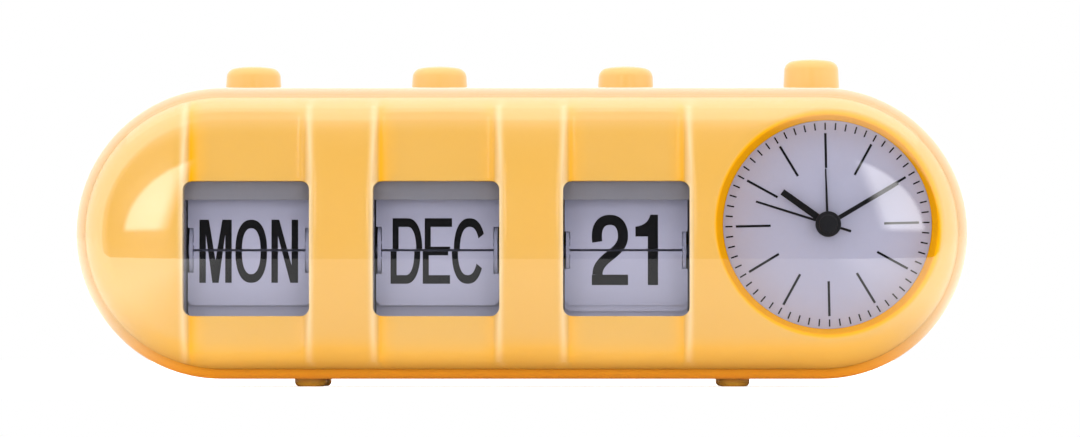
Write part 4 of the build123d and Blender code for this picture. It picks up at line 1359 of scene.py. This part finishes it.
@dataclass(frozen=True)
class Letter:
    """One squeezed grotesque letter, drawn in its own width and height with upright and level strokes."""

    width: float
    height: float
    stem: float
    bar: float
    SQUARE: ClassVar[float] = 0.86
    RING_POINTS: ClassVar[int] = 64
    BOW_POINTS: ClassVar[int] = 33
    HOOK_POINTS: ClassVar[int] = 32
    HOOK_DEPTH: ClassVar[float] = 0.32
    FLAG_POINTS: ClassVar[int] = 8
    TWO_POINTS: ClassVar[tuple[int, int]] = (40, 26)
    TWO_MIDDLE: ClassVar[float] = 0.69

    def bow(
        self, middle: float, half: tuple[float, float], start: float, end: float, count: int
    ) -> np.ndarray:
        """Part of a rounded oval round the letter's middle line.

        Each coordinate is its half axis times the cosine or sine, with its size raised to a power below 1,
        so that the oval is a little squarer than an ellipse.

        Args:
            middle: height of the oval's centre.
            half: its half axes.
            start: first angle in degrees, anticlockwise from the right.
            end: last angle in degrees.
            count: number of points.

        Returns:
            Rows of two coordinates.
        """
        angle = np.radians(np.linspace(start, end, count))
        across, up = np.cos(angle), np.sin(angle)
        x = self.width / 2 + half[0] * np.sign(across) * np.abs(across) ** self.SQUARE
        z = middle + half[1] * np.sign(up) * np.abs(up) ** self.SQUARE
        return np.stack([x, z], axis=-1)

    @staticmethod
    def ribbon(outer: np.ndarray, inner: np.ndarray, closed: bool) -> Flat:
        """Strip of cells between two matched lines."""
        return np.concatenate([outer, inner]), [Grid.quads(2, len(outer), False, closed)]

    @staticmethod
    def plate(corners: list) -> Flat:
        """One flat face."""
        return np.array(corners, dtype=float), [np.arange(len(corners))[None, :]]

    def ring(self, start: float, end: float, closed: bool) -> Flat:
        """Oval stroke between two angles.

        Args:
            start: first angle in degrees.
            end: last angle in degrees.
            closed: whether the stroke runs all the way round.

        Returns:
            Points and faces.
        """
        middle = self.height / 2
        count = self.RING_POINTS
        outer = self.bow(middle, (self.width / 2, middle), start, end, count)
        inner = self.bow(middle, (self.width / 2 - self.stem, middle - self.bar), start, end, count)
        return self.ribbon(outer[: count - closed], inner[: count - closed], closed)

    def hook(self, left: float) -> Flat:
        """Two uprights joined by a half oval below.

        Args:
            left: share of the height at which the left upright ends.

        Returns:
            Points and faces.
        """
        width, height, stem = self.width, self.height, self.stem
        deep = self.HOOK_DEPTH * height
        outer = self.bow(deep, (width / 2, deep), 180, 360, self.HOOK_POINTS)
        inner = self.bow(deep, (width / 2 - stem, deep - self.bar), 180, 360, self.HOOK_POINTS)
        outer = np.concatenate([[[0, left * height]], outer, [[width, height]]])
        inner = np.concatenate([[[stem, left * height]], inner, [[width - stem, height]]])
        return self.ribbon(outer, inner, False)

    def straight(self) -> dict[str, list]:
        """Outlines of the letters that have straight edges only.

        Returns:
            The corners of each letter, anticlockwise from its lower left.
        """
        width, height, stem, bar = self.width, self.height, self.stem, self.bar
        middle, inner, under = width / 2, width - stem, height - bar
        low, high = (height - bar) / 2, (height + bar) / 2
        left, right = (width - stem) / 2, (width + stem) / 2
        arm = 0.93 * width
        point = 0.48 * stem
        slant = 1.2 * stem
        notch = 1.45 * stem
        return {
            "E": [
                [0, 0], [width, 0], [width, bar], [stem, bar], [stem, low], [arm, low],
                [arm, high], [stem, high], [stem, under], [width, under], [width, height], [0, height],
            ],
            "T": [
                [left, 0], [right, 0], [right, under], [width, under],
                [width, height], [0, height], [0, under], [left, under],
            ],
            "N": [
                [0, 0], [stem, 0], [stem, 0.74 * height], [width - slant, 0], [width, 0],
                [width, height], [inner, height], [inner, 0.28 * height], [slant, height], [0, height],
            ],
            "M": [
                [0, 0], [stem, 0], [stem, 0.76 * height], [middle - point, 0], [middle + point, 0],
                [inner, 0.76 * height], [inner, 0], [width, 0], [width, height], [width - notch, height],
                [middle, 0.36 * height], [notch, height], [0, height],
            ],
        }

    def letter_a(self) -> list[Flat]:
        """Letter A: two leaning legs, and a level bar between them.

        Returns:
            Both flat pieces, each as points and faces.
        """
        width, height, stem = self.width, self.height, self.stem
        middle, inner, fork = width / 2, width - stem, 0.8 * height
        split, top = 0.34 * stem, 0.68 * stem
        legs = [
            [0, 0], [stem, 0], [middle - split, fork], [middle + split, fork],
            [inner, 0], [width, 0], [middle + top, height], [middle - top, height],
        ]
        slope = (middle - stem - split) / fork
        low, high = 0.22 * height, 0.22 * height + self.bar
        wide, narrow = stem + slope * low, stem + slope * high
        bar = [[wide, low], [width - wide, low], [width - narrow, high], [narrow, high]]
        return [self.plate(legs), self.plate(bar)]

    def letter_d(self) -> list[Flat]:
        """Letter D: an upright and a half oval as one closed stroke.

        Returns:
            One flat piece as points and faces.
        """
        half, tall = self.width / 2, self.height / 2
        outer = self.bow(tall, (half, tall), -90, 90, self.BOW_POINTS)
        inner = self.bow(tall, (half - self.stem, tall - self.bar), -90, 90, self.BOW_POINTS)
        outer = np.concatenate([[[0, self.height], [0, 0]], outer])
        inner = np.concatenate([[[self.stem, self.height - self.bar], [self.stem, self.bar]], inner])
        return [self.ribbon(outer, inner, True)]

    def figure_one(self) -> list[Flat]:
        """Figure one: an upright with a flag, whose upper edge is a quadratic curve.

        Returns:
            One flat piece as points and faces.
        """
        width, height = self.width, self.height
        left, under = width - self.stem, 0.69 * height
        share = np.linspace(0, 1, self.FLAG_POINTS)[:, None]
        ends = np.array([[0.66 * width, height], [0.55 * width, 0.85 * height], [0, 0.83 * height]])
        weights = np.concatenate([(1 - share) ** 2, 2 * share * (1 - share), share**2], axis=1)
        flag = (weights @ ends).tolist()
        return [self.plate([[left, 0], [width, 0], [width, height], *flag, [0, under], [left, under]])]

    def figure_two(self) -> list[Flat]:
        """Figure two: a stroke of even width along a half oval and a cubic curve, and a level foot.

        Returns:
            Both flat pieces, each as points and faces.
        """
        width, height, stem, bar = self.width, self.height, self.stem, self.bar
        top, right = self.TWO_MIDDLE * height, width - stem / 2
        bow = self.bow(top, ((width - stem) / 2, height - bar / 2 - top), 196, 0, self.TWO_POINTS[0])
        share = np.linspace(0, 1, self.TWO_POINTS[1])[1:, None]
        rest = 1 - share
        ends = np.array(
            [[right, top], [right, 0.44 * height], [0.52 * stem, 0.4 * height], [0.56 * stem, bar]]
        )
        weights = np.concatenate([rest**3, 3 * share * rest**2, 3 * share**2 * rest, share**3], axis=1)
        line = np.concatenate([bow, weights @ ends])
        way = np.gradient(line, axis=0)
        way /= np.linalg.norm(way, axis=1)[:, None]
        side = np.stack([-way[:, 1], way[:, 0]], axis=-1) * stem / 2
        foot = self.plate([[0, 0], [width, 0], [width, bar], [0, bar]])
        return [self.ribbon(line + side, line - side, False), foot]

    def draw(self, sign: str) -> list[Flat]:
        """Draw a letter or figure.

        Args:
            sign: the letter or figure.

        Returns:
            Flat pieces, each as points and faces.
        """
        curved = {
            "O": lambda: [self.ring(0, 360, True)],
            "C": lambda: [self.ring(28, 332, False)],
            "U": lambda: [self.hook(1.0)],
            "J": lambda: [self.hook(0.34)],
            "A": self.letter_a,
            "D": self.letter_d,
            "1": self.figure_one,
            "2": self.figure_two,
        }
        if sign in curved:
            return curved[sign]()
        return [self.plate(self.straight()[sign])]


@dataclass(frozen=True)
class Word:
    """Letters side by side, each with its left edge and its width."""

    letters: tuple[tuple[str, float, float], ...]
    base: float
    height: float
    stem: float
    bar: float
    GAP: ClassVar[float] = 0.75 * MM

    @classmethod
    def centred(cls, signs: str, widths: tuple[float, ...], middle: float, like: Word) -> Word:
        """Set signs side by side about a middle, in the style of another word.

        Args:
            signs: the letters.
            widths: their widths.
            middle: where the word's middle is.
            like: the word whose heights and strokes are used.

        Returns:
            The new word.
        """
        left = middle - (sum(widths) + cls.GAP * (len(widths) - 1)) / 2
        starts = left + np.concatenate([[0.0], np.cumsum(np.array(widths) + cls.GAP)[:-1]])
        letters = tuple(zip(signs, starts.tolist(), widths))
        return cls(letters, like.base, like.height, like.stem, like.bar)

    def outline(self) -> Flat:
        """All letters as points and faces, with every face anticlockwise.

        Returns:
            Rows of two coordinates, and arrays of corner indices.
        """
        points, faces, start = [], [], 0
        for sign, left, width in self.letters:
            for flat, cells in Letter(width, self.height, self.stem, self.bar).draw(sign):
                corners = flat[cells[0]]
                ahead = np.roll(corners, -1, axis=1)
                area = (corners[..., 0] * ahead[..., 1] - corners[..., 1] * ahead[..., 0]).sum()
                points.append(flat + np.array([left, self.base]))
                faces.append((cells[0] if area > 0 else cells[0][:, ::-1]) + start)
                start += len(flat)
        return np.concatenate(points), faces


@dataclass(frozen=True)
class LeafPrint:
    """Words on one module's leaves: the shown one and the next one, each split between two leaves."""

    name: str
    leaves: int
    shown: Word
    following: Word
    slip: float = 0.0
    axle: tuple[float, float] = (-7.4 * MM, 31.4 * MM)
    pin_radius: float = 7.0 * MM
    split_gap: float = 0.52 * MM
    leaf: float = 0.18 * MM
    ink: float = 0.012 * MM
    merge: float = 1e-7

    @property
    def step(self) -> float:
        """Angle between two leaves in radians."""
        return 2 * math.pi / self.leaves

    @property
    def pin(self) -> tuple[float, float]:
        """Depth and height of the front leaf's pin."""
        back = self.pin_radius * math.cos(self.step / 2)
        return self.axle[0] - back, self.axle[1] + self.pin_radius * math.sin(self.step / 2)

    @staticmethod
    def turn(angle: float, about: tuple[float, float]) -> Matrix:
        """Turn about a level axis across the clock; a positive angle brings the top forwards."""
        place = Matrix.Translation((0.0, about[0], about[1]))
        return place @ Matrix.Rotation(angle, 4, "X") @ place.inverted()

    def half(self, name: str, word: Word, upper: bool, place: Matrix) -> bpy.types.Object:
        """Half a word as a thin layer of ink, in front of the front leaves and then moved to its place.

        Args:
            name: the object's name.
            word: the word to split.
            upper: whether the upper half is kept.
            place: where the layer goes from the front.

        Returns:
            The layer.
        """
        flat, faces = word.outline()
        points = np.insert(flat, 1, self.pin[0] - self.leaf / 2 - self.ink, axis=1)
        data = bpy.data.meshes.new(name)
        data.from_pydata(points.tolist(), [], [face for block in faces for face in block.tolist()])
        work = bmesh.new()
        work.from_mesh(data)
        bmesh.ops.triangulate(work, faces=work.faces)
        side = 1 if upper else -1
        bmesh.ops.bisect_plane(
            work,
            geom=[*work.verts, *work.edges, *work.faces],
            plane_co=(0.0, 0.0, self.axle[1] + side * self.split_gap / 2),
            plane_no=(0.0, 0.0, side),
            clear_inner=True,
        )
        bmesh.ops.remove_doubles(work, verts=work.verts, dist=self.merge)
        work.to_mesh(data)
        work.free()
        data.transform(place)
        piece = bpy.data.objects.new(name, data)
        bpy.context.scene.collection.objects.link(piece)
        layer = piece.modifiers.new("ink", "SOLIDIFY")
        layer.thickness = self.ink
        layer.offset = -1.0
        return piece

    def dress(self) -> None:
        """Print both words, each half on the leaf that carries it."""
        still = Matrix.Translation((-self.slip, 0.0, 0.0))
        behind = self.turn(-self.step, self.axle)
        fall = self.turn(self.step, self.axle) @ self.turn(math.pi - self.step, self.pin)
        drum, leaf = f"{self.name}_drum_body", f"{self.name}_leaf_body"
        layers = (
            ("shown_upper", self.shown, True, Matrix.Identity(4), leaf),
            ("shown_lower", self.shown, False, still, drum),
            ("next_upper", self.following, True, behind, drum),
            ("next_lower", self.following, False, fall.inverted(), leaf),
        )
        for part, word, upper, place, body in layers:
            piece = self.half(f"{self.name}_{part}_print", word, upper, place)
            dress(piece, Finish.INK, body, "dial_print")


@dataclass(frozen=True)
class Hand:
    """Stamped hand with bevelled edges, its hub and the tube that it turns on."""

    name: str
    angle: float
    length: float
    tail: float
    width: float
    tip: float
    front: float
    hub: float
    tube: float
    bore: float
    thick: float = 0.3 * MM
    bevel: float = 0.08 * MM
    collar: float = 0.06 * MM
    tube_end: float = -11.5 * MM
    sides: int = 48
    sharp: float = 30.0

    def blade(self) -> np.ndarray:
        """Carry a bevelled box section from the tail to the tip, narrowing evenly.

        Returns:
            Array of four stations, eight section points and three coordinates.
        """
        bevel, thick, lower = self.bevel, self.thick, self.thick - self.bevel
        along = np.array([-self.tail, -self.tail + bevel, self.length - bevel, self.length])[:, None]
        half = np.interp(along, [0.0, self.length], [self.width / 2, self.tip / 2])
        shrink = np.array([bevel, 0.0, 0.0, bevel])[:, None]
        side = np.array([-1, -1, -1, -1, 1, 1, 1, 1])[None, :]
        inward = np.array([1, 0, 0, 1, 1, 0, 0, 1])[None, :] * bevel
        depth = np.array([0, bevel, lower, thick, thick, lower, bevel, 0])[None, :]
        across = side * (half - np.maximum(inward, shrink))
        turn = math.radians(self.angle)
        x = DIAL_CENTRE[0] + along * math.cos(turn) - across * math.sin(turn)
        z = DIAL_CENTRE[1] + along * math.sin(turn) + across * math.cos(turn)
        y = np.broadcast_to(self.front + depth, x.shape)
        return np.stack([x, y, z], axis=-1)

    def section(self) -> np.ndarray:
        """Half section of the hub and its tube, round from the bore's front to the bore's end.

        Returns:
            Rows of radius and depth.
        """
        hub, bevel, end = self.hub, self.bevel, self.tube_end
        front = self.front - self.collar
        back = self.front + self.thick + self.collar
        return np.array(
            [
                [self.bore, front], [hub - bevel, front], [hub, front + bevel], [hub, back - bevel],
                [hub - bevel, back], [self.tube, back], [self.tube, end], [self.bore, end],
            ]
        )

    def build(self) -> bpy.types.Object:
        """Join the blade and the turned hub.

        Returns:
            The hand.
        """
        blade = self.blade()
        rows, columns = blade.shape[:2]
        hub = on_dial(Grid.turned(self.section(), self.sides))
        ends = np.arange(columns) + np.array([[0], [(rows - 1) * columns]])
        points = np.concatenate([blade.reshape(-1, 3), hub.reshape(-1, 3)])
        round_hub = Grid.quads(*hub.shape[:2], True, True) + rows * columns
        faces = [Grid.quads(rows, columns, False, True), ends, round_hub]
        piece = Grid.mesh(f"{self.name}_stamped", points, faces)
        keep_sharp(piece, self.sharp)
        return piece

    def dress(self) -> None:
        """Build the hand and paint it black."""
        dress(self.build(), Finish.HAND, f"{self.name}_body", "black_hands", self.name)


@dataclass(frozen=True)
class HubCap:
    """Small stepped cap on the hands' hub, which turns with the second hand."""

    back: float
    radius: float = 2.95 * MM
    rise: float = 0.75 * MM
    button: float = 2.1 * MM
    button_rise: float = 0.45 * MM
    edge: float = 0.22 * MM
    edge_steps: int = 7
    sides: int = 64
    sharp: float = 50.0

    def build(self) -> bpy.types.Object:
        """Turn the cap's section: a step and a smaller button on it, both with a rounded edge.

        Returns:
            The cap.
        """
        top = self.back - self.rise
        crown = top - self.button_rise
        outer, inner = (
            arc((radius - self.edge, face + self.edge), self.edge, 0.0, -math.pi / 2, self.edge_steps)
            for radius, face in ((self.radius, top), (self.button, crown))
        )
        foot = [[0.0, self.back], [self.radius, self.back]]
        section = np.concatenate([foot, outer, [[self.button, top]], inner, [[0.0, crown]]])
        piece = Grid.sheet("hub_cap", on_dial(Grid.turned(section, self.sides)), wrap_rows=True)
        keep_sharp(piece, self.sharp)
        return piece

    def dress(self) -> None:
        """Build the cap and give it its charcoal."""
        dress(self.build(), Finish.HUB, "second_hand_body", "black_hands")


def work_out(tree: bpy.types.NodeTree, made: dict[Any, Any], steps: tuple) -> None:
    """Run a table of sums through a node tree.

    Args:
        tree: node tree that gets the nodes.
        made: output sockets by name, to which every row adds its own.
        steps: rows of a name, a sum, the name of its first value and its second value, which is a name or a
            number. A RAMP rises smoothly from 0 to 1 between two numbers. The other sums are plain ones.
    """
    for name, step, first, second in steps:
        if step == "RAMP":
            ends = {"Value": made[first], "From Min": second[0], "From Max": second[1]}
            node = add_node(tree, "ShaderNodeMapRange", ends, interpolation_type="SMOOTHSTEP")
        else:
            ends = {0: made[first], 1: made.get(second, second)}
            node = add_node(tree, "ShaderNodeMath", ends, operation=step)
        made[name] = node.outputs[0]


@dataclass(frozen=True)
class Studio:
    """Pale table, white tent with two softboxes in front, two lamps and the camera."""

    # The camera, from the photograph's framing.
    image: tuple[int, int] = (1080, 437)
    focal_px: float = 5097.0
    axis_px: tuple[float, float] = (595.0, 356.0)
    eye: tuple[float, float] = (16.9 * MM, -1187.0 * MM)
    middle_px: float = 233.0
    middle_z: float = 35.3 * MM
    px_per_mm: float = 4.356
    sensor: float = 36.0
    sight: tuple[float, float] = (0.01, 50.0)
    # The tent, its opening and its softboxes: sizes are slopes from straight ahead.
    level_ahead: float = 0.001
    opening_half: tuple[float, float] = (0.81, 0.53)
    opening_fade: tuple[float, float] = (0.9, 1.2)
    opening_level: float = 0.04
    tent_level: float = 1.4
    box_half: tuple[float, float] = (0.54, 0.39)
    box_fade: tuple[float, float] = (1.0, 0.94)
    box_inner: tuple[float, float] = (0.29, 0.38)
    box_lean: float = 0.35
    box_low: tuple[float, float] = (0.02, 0.05)
    box_level: float = 3.5
    # The lamps.
    top_place: tuple[float, float, float] = (0.0, -0.15, 1.1)
    top_size: tuple[float, float] = (2.4, 0.9)
    top_power: float = 2.2
    fill_place: tuple[float, float, float] = (0.0, -1.3, 0.16)
    fill_size: tuple[float, float] = (1.2, 0.4)
    fill_power: float = 5.2
    # The table, as it is and as the clock mirrors it, with a painted reflection of its glow and shade.
    table_edge: float = -0.34
    table_reach: float = 6.0
    paper: float = 0.92
    floor_glow: float = 0.7
    glow_reach: tuple[float, float] = (0.075, 0.14)
    mirrored_glow: tuple[float, float] = (0.05, 0.35)
    mirrored_paper: tuple[float, float] = (0.36, 0.92)
    shade: str = "#FFB000"
    shade_reach: tuple[float, float] = (-0.056, -0.036)
    shade_half: tuple[float, float] = (0.11, 0.07)

    def camera(self) -> None:
        """Stand the camera low in front of the clock and aim it so that the framing is the photograph's.

        axis_px is where a level view straight ahead falls in the picture, so the aim is its angle from the
        picture's middle.
        """
        data = bpy.data.cameras.new("front_camera")
        data.sensor_fit = "HORIZONTAL"
        data.sensor_width = self.sensor
        data.lens = self.focal_px / self.image[0] * self.sensor
        data.clip_start, data.clip_end = self.sight
        camera = bpy.data.objects.new("front_camera", data)
        height = self.middle_z - (self.axis_px[1] - self.middle_px) / self.px_per_mm * MM
        camera.location = (self.eye[0], self.eye[1], height)
        pitch = math.atan((self.axis_px[1] - self.image[1] / 2) / self.focal_px)
        yaw = math.atan((self.axis_px[0] - self.image[0] / 2) / self.focal_px)
        camera.rotation_euler = (math.pi / 2 + pitch, 0.0, yaw)
        bpy.context.scene.collection.objects.link(camera)
        bpy.context.scene.camera = camera

    def lamp(self, name: str, place: tuple, size: tuple[float, float], power: float) -> bpy.types.Object:
        """Hang a rectangular softbox.

        Args:
            name: the lamp's name.
            place: where it hangs, in metres.
            size: its width and height.
            power: its power in watts.

        Returns:
            The lamp, turned towards the clock.
        """
        data = bpy.data.lights.new(name, "AREA")
        data.shape = "RECTANGLE"
        data.size, data.size_y = size
        data.energy = power
        lamp = bpy.data.objects.new(name, data)
        lamp.location = place
        way = Vector((0.0, 0.0, self.middle_z)) - Vector(place)
        lamp.rotation_euler = way.to_track_quat("-Z", "Y").to_euler()
        bpy.context.scene.collection.objects.link(lamp)
        return lamp

    @staticmethod
    def oval(name: str, half: tuple[float, float]) -> tuple:
        """Sums that tell how far out a direction lies in an oval: 1 on its edge.

        Args:
            name: what the sums' names begin with.
            half: the oval's half axes, as slopes.

        Returns:
            Rows for work_out, of which the last is the name with _out.
        """
        return (
            (f"{name}_x", "DIVIDE", "aside", half[0]),
            (f"{name}_z", "DIVIDE", "up", half[1]),
            (f"{name}_xx", "MULTIPLY", f"{name}_x", f"{name}_x"),
            (f"{name}_zz", "MULTIPLY", f"{name}_z", f"{name}_z"),
            (f"{name}_sum", "ADD", f"{name}_xx", f"{name}_zz"),
            (f"{name}_out", "SQRT", f"{name}_sum", 0.0),
        )

    def surroundings(self) -> None:
        """World: a white tent with a dark oval opening in front, in which two softboxes glow.

        Directions are taken as slopes: sideways and upwards, each over the way forward. The opening is an
        oval of these slopes. Each softbox is the part of a smaller oval that lies above the table and
        outside the strip behind the camera, and it fades towards that strip.
        """
        world = bpy.data.worlds.new("studio_tent")
        world.use_nodes = True
        tree = world.node_tree
        tree.nodes.clear()
        way = add_node(tree, "ShaderNodeTexCoord").outputs["Generated"]
        part = add_node(tree, "ShaderNodeSeparateXYZ", {0: way}).outputs
        made: dict[Any, Any] = {"x": part["X"], "y": part["Y"], "z": part["Z"]}
        steps = (
            ("forward", "MULTIPLY", "y", -1.0),
            ("ahead", "MAXIMUM", "forward", self.level_ahead),
            ("slope", "DIVIDE", "x", "ahead"),
            ("aside", "ABSOLUTE", "slope", 0.0),
            ("up", "DIVIDE", "z", "ahead"),
            *self.oval("tent", self.opening_half),
            ("tent", "RAMP", "tent_out", self.opening_fade),
            *self.oval("box", self.box_half),
            ("box_in", "RAMP", "box_out", self.box_fade),
            ("over", "RAMP", "up", self.box_low),
            ("lean_z", "MULTIPLY", "up", self.box_lean),
            ("lean", "ADD", "aside", "lean_z"),
            ("outer", "RAMP", "lean", self.box_inner),
            ("box_over", "MULTIPLY", "box_in", "over"),
            ("box", "MULTIPLY", "box_over", "outer"),
            ("box_light", "MULTIPLY", "box", self.box_level),
            ("tent_light", "MULTIPLY", "tent", self.tent_level),
            ("both", "ADD", "tent_light", "box_light"),
            ("light", "ADD", "both", self.opening_level),
        )
        work_out(tree, made, steps)
        ray = add_node(tree, "ShaderNodeLightPath").outputs["Is Camera Ray"]
        ends = {"Factor": ray, "A": made["light"], "B": 1.0}
        seen = add_node(tree, "ShaderNodeMix", ends, data_type="FLOAT").outputs["Result"]
        glow = add_node(tree, "ShaderNodeBackground", {"Color": linear("#FFFFFF"), "Strength": seen})
        add_node(tree, "ShaderNodeOutputWorld", {"Surface": glow.outputs["Background"]})
        bpy.context.scene.world = world

    def floor(self) -> None:
        """Wide pale floor that keeps the clock's shadow: matt, with a glow for seen rays only.

        In the clock's own shine the paper has a painted reflection: it glows less and is darker in front of
        the clock than beside it, and close in front it takes the clock's orange as painted shade.
        """
        far, near = self.table_reach, self.table_edge
        corners = np.array([[-far, near, 0.0], [far, near, 0.0], [far, far, 0.0], [-far, far, 0.0]])
        piece = Grid.mesh("floor", corners, [np.array([[0, 1, 2, 3]])])
        material, tree = empty_material("floor_paper_white")
        ray = add_node(tree, "ShaderNodeLightPath").outputs
        place = add_node(tree, "ShaderNodeTexCoord").outputs["Object"]
        part = add_node(tree, "ShaderNodeSeparateXYZ", {0: place}).outputs
        made: dict[Any, Any] = {
            "x": part["X"],
            "y": part["Y"],
            "camera": ray["Is Camera Ray"],
            "through": ray["Is Transmission Ray"],
            "shine": ray["Is Glossy Ray"],
        }
        # Painted reflection: in the clock's shine the paper glows and pales more beside the clock than in
        # front of it.
        glow, glow_beside = self.mirrored_glow
        pale, pale_beside = self.mirrored_paper
        steps = (
            ("aside", "ABSOLUTE", "x", 0.0),
            ("beside", "RAMP", "aside", self.glow_reach),
            ("glow_more", "MULTIPLY", "beside", glow_beside - glow),
            ("glow", "ADD", "glow_more", glow),
            ("glow_in_shine", "MULTIPLY", "glow", "shine"),
            ("plain", "MAXIMUM", "camera", "through"),
            ("seen", "MAXIMUM", "plain", "glow_in_shine"),
            ("pale_more", "MULTIPLY", "beside", pale_beside - pale),
            ("pale", "ADD", "pale_more", pale),
            ("close", "RAMP", "y", self.shade_reach),
            ("under", "RAMP", "aside", self.shade_half),
            ("shaded", "MULTIPLY", "close", "under"),
        )
        work_out(tree, made, steps)
        # Painted shade: close in front of the clock, the paper as the clock mirrors it is painted the
        # clock's orange.
        ends = {"Factor": made["shaded"], "A": made["pale"], "B": linear(self.shade)}
        mirrored = add_node(tree, "ShaderNodeMix", ends, data_type="RGBA").outputs["Result"]
        ends = {"Factor": made["shine"], "A": (self.paper,) * 3 + (1.0,), "B": mirrored}
        paper = add_node(tree, "ShaderNodeMix", ends, data_type="RGBA").outputs["Result"]
        matt = add_node(tree, "ShaderNodeBsdfDiffuse", {"Color": paper}).outputs["BSDF"]
        light = add_node(tree, "ShaderNodeEmission", {"Strength": self.floor_glow}).outputs["Emission"]
        both = add_node(tree, "ShaderNodeAddShader", {0: matt, 1: light}).outputs["Shader"]
        mix = add_node(tree, "ShaderNodeMixShader", {0: made["seen"], 1: matt, 2: both})
        add_node(tree, "ShaderNodeOutputMaterial", {"Surface": mix.outputs["Shader"]})
        piece.data.materials.append(material)

    def build(self) -> None:
        """Set up everything round the clock."""
        self.floor()
        self.surroundings()
        self.lamp("top_light", self.top_place, self.top_size, self.top_power)
        fill = self.lamp("front_fill", self.fill_place, self.fill_size, self.fill_power)
        fill.visible_glossy = False
        self.camera()


CARRIED: dict[Finish, tuple[str, ...]] = {
    Finish.CASE: ("rear_case", "battery_door"),
    Finish.FRAME: tuple(f"{name}_frame" for name in MODULES),
    Finish.ACETAL: (
        *(f"{name}_{part}" for part in ("drum", "plunger") for name in MODULES),
        "alarm_plunger",
    ),
    Finish.LEAF: tuple(f"{name}_{part}" for part in ("leaves", "flip_leaf") for name in MODULES),
    Finish.DIAL: ("dial_plate",),
    Finish.MOVEMENT: ("movement_case", "movement_back"),
    Finish.KNOB: ("time_set_knob", "alarm_set_knob"),
    Finish.ZINC: ("case_screws", "frame_screws"),
    Finish.NICKEL: ("battery_contacts",),
    Finish.CELL: ("battery_cell",),
}

BUTTONS = (
    *(Button(f"{name}_button", x) for name, x in zip(MODULES, COLUMNS)),
    Button("alarm_button", 67.3 * MM, rise=7.3 * MM, flange_gap=1.0 * MM),
)
SPRINGS = tuple(ReturnSpring(name) for name in (*MODULES, "alarm"))

# Each hand's direction in degrees, then its length, tail, width, tip, front, hub, tube and bore in mm.
HANDS = tuple(
    Hand(name, angle, *(size * MM for size in sizes))
    for name, angle, sizes in (
        ("alarm_hand", 92.0, (12.8, 1.5, 0.65, 0.36, -19.2, 2.3, 1.85, 1.55)),
        ("hour_hand", 144.5, (12.8, 2.3, 1.6, 1.5, -20.1, 2.6, 1.4, 1.1)),
        ("minute_hand", 30.7, (18.6, 2.3, 1.05, 0.95, -21.0, 2.6, 0.95, 0.65)),
        ("second_hand", 162.6, (17.3, 5.5, 0.6, 0.5, -21.9, 2.95, 0.5, 0.0)),
    )
)

MONDAY = Word(
    (("M", -74.2 * MM, 7.45 * MM), ("O", -65.9 * MM, 7.3 * MM), ("N", -57.6 * MM, 6.15 * MM)),
    base=23.9 * MM, height=14.55 * MM, stem=1.5 * MM, bar=2.0 * MM,
)
DECEMBER = Word(
    (("D", -29.7 * MM, 6.85 * MM), ("E", -22.3 * MM, 6.3 * MM), ("C", -15.6 * MM, 7.3 * MM)),
    base=23.67 * MM, height=15.1 * MM, stem=1.4 * MM, bar=2.0 * MM,
)
TWENTY_ONE = Word(
    (("2", 16.16 * MM, 8.35 * MM), ("1", 26.2 * MM, 5.2 * MM)),
    base=23.37 * MM, height=16.2 * MM, stem=2.35 * MM, bar=2.4 * MM,
)
TUESDAY = Word.centred("TUE", (6.4 * MM, 6.8 * MM, 6.2 * MM), COLUMNS[0], MONDAY)
JANUARY = Word.centred("JAN", (5.4 * MM, 7.4 * MM, 6.3 * MM), COLUMNS[1], DECEMBER)
TWENTY_TWO = Word.centred("22", (8.35 * MM, 8.35 * MM), COLUMNS[2], TWENTY_ONE)
PRINTS = (
    LeafPrint("day", 14, MONDAY, TUESDAY),
    LeafPrint("month", 12, DECEMBER, JANUARY, slip=0.45 * MM),
    LeafPrint("date", 31, TWENTY_ONE, TWENTY_TWO, ink=0.005 * MM),
)


def dress_nodes(nodes: dict[str, bpy.types.Object]) -> None:
    """Give every carried-over node its finish.

    Args:
        nodes: the frame's nodes by name.
    """
    for finish, names in CARRIED.items():
        for name in names:
            node = nodes[name]
            node.data.materials.clear()
            node.data.materials.append(PAINTS[finish])
            LOG.info("%s: %s", name, finish.value.name)


def main() -> None:
    """Build and dress the clock, then the studio round it."""
    logging.basicConfig(level=logging.INFO, format="%(message)s")
    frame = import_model()
    bpy.context.scene.view_settings.view_transform = "Standard"
    PAINTS.update({finish: finish.value.material() for finish in Finish})
    dress_nodes(frame["nodes"])
    cap = HubCap(HANDS[-1].front)
    for part in (ClearCover(), Fascia(), *BUTTONS, Foot(), *SPRINGS, DialPrint(), *HANDS, cap, *PRINTS):
        part.dress()
    Studio().build()


if __name__ == "__main__":
    main()
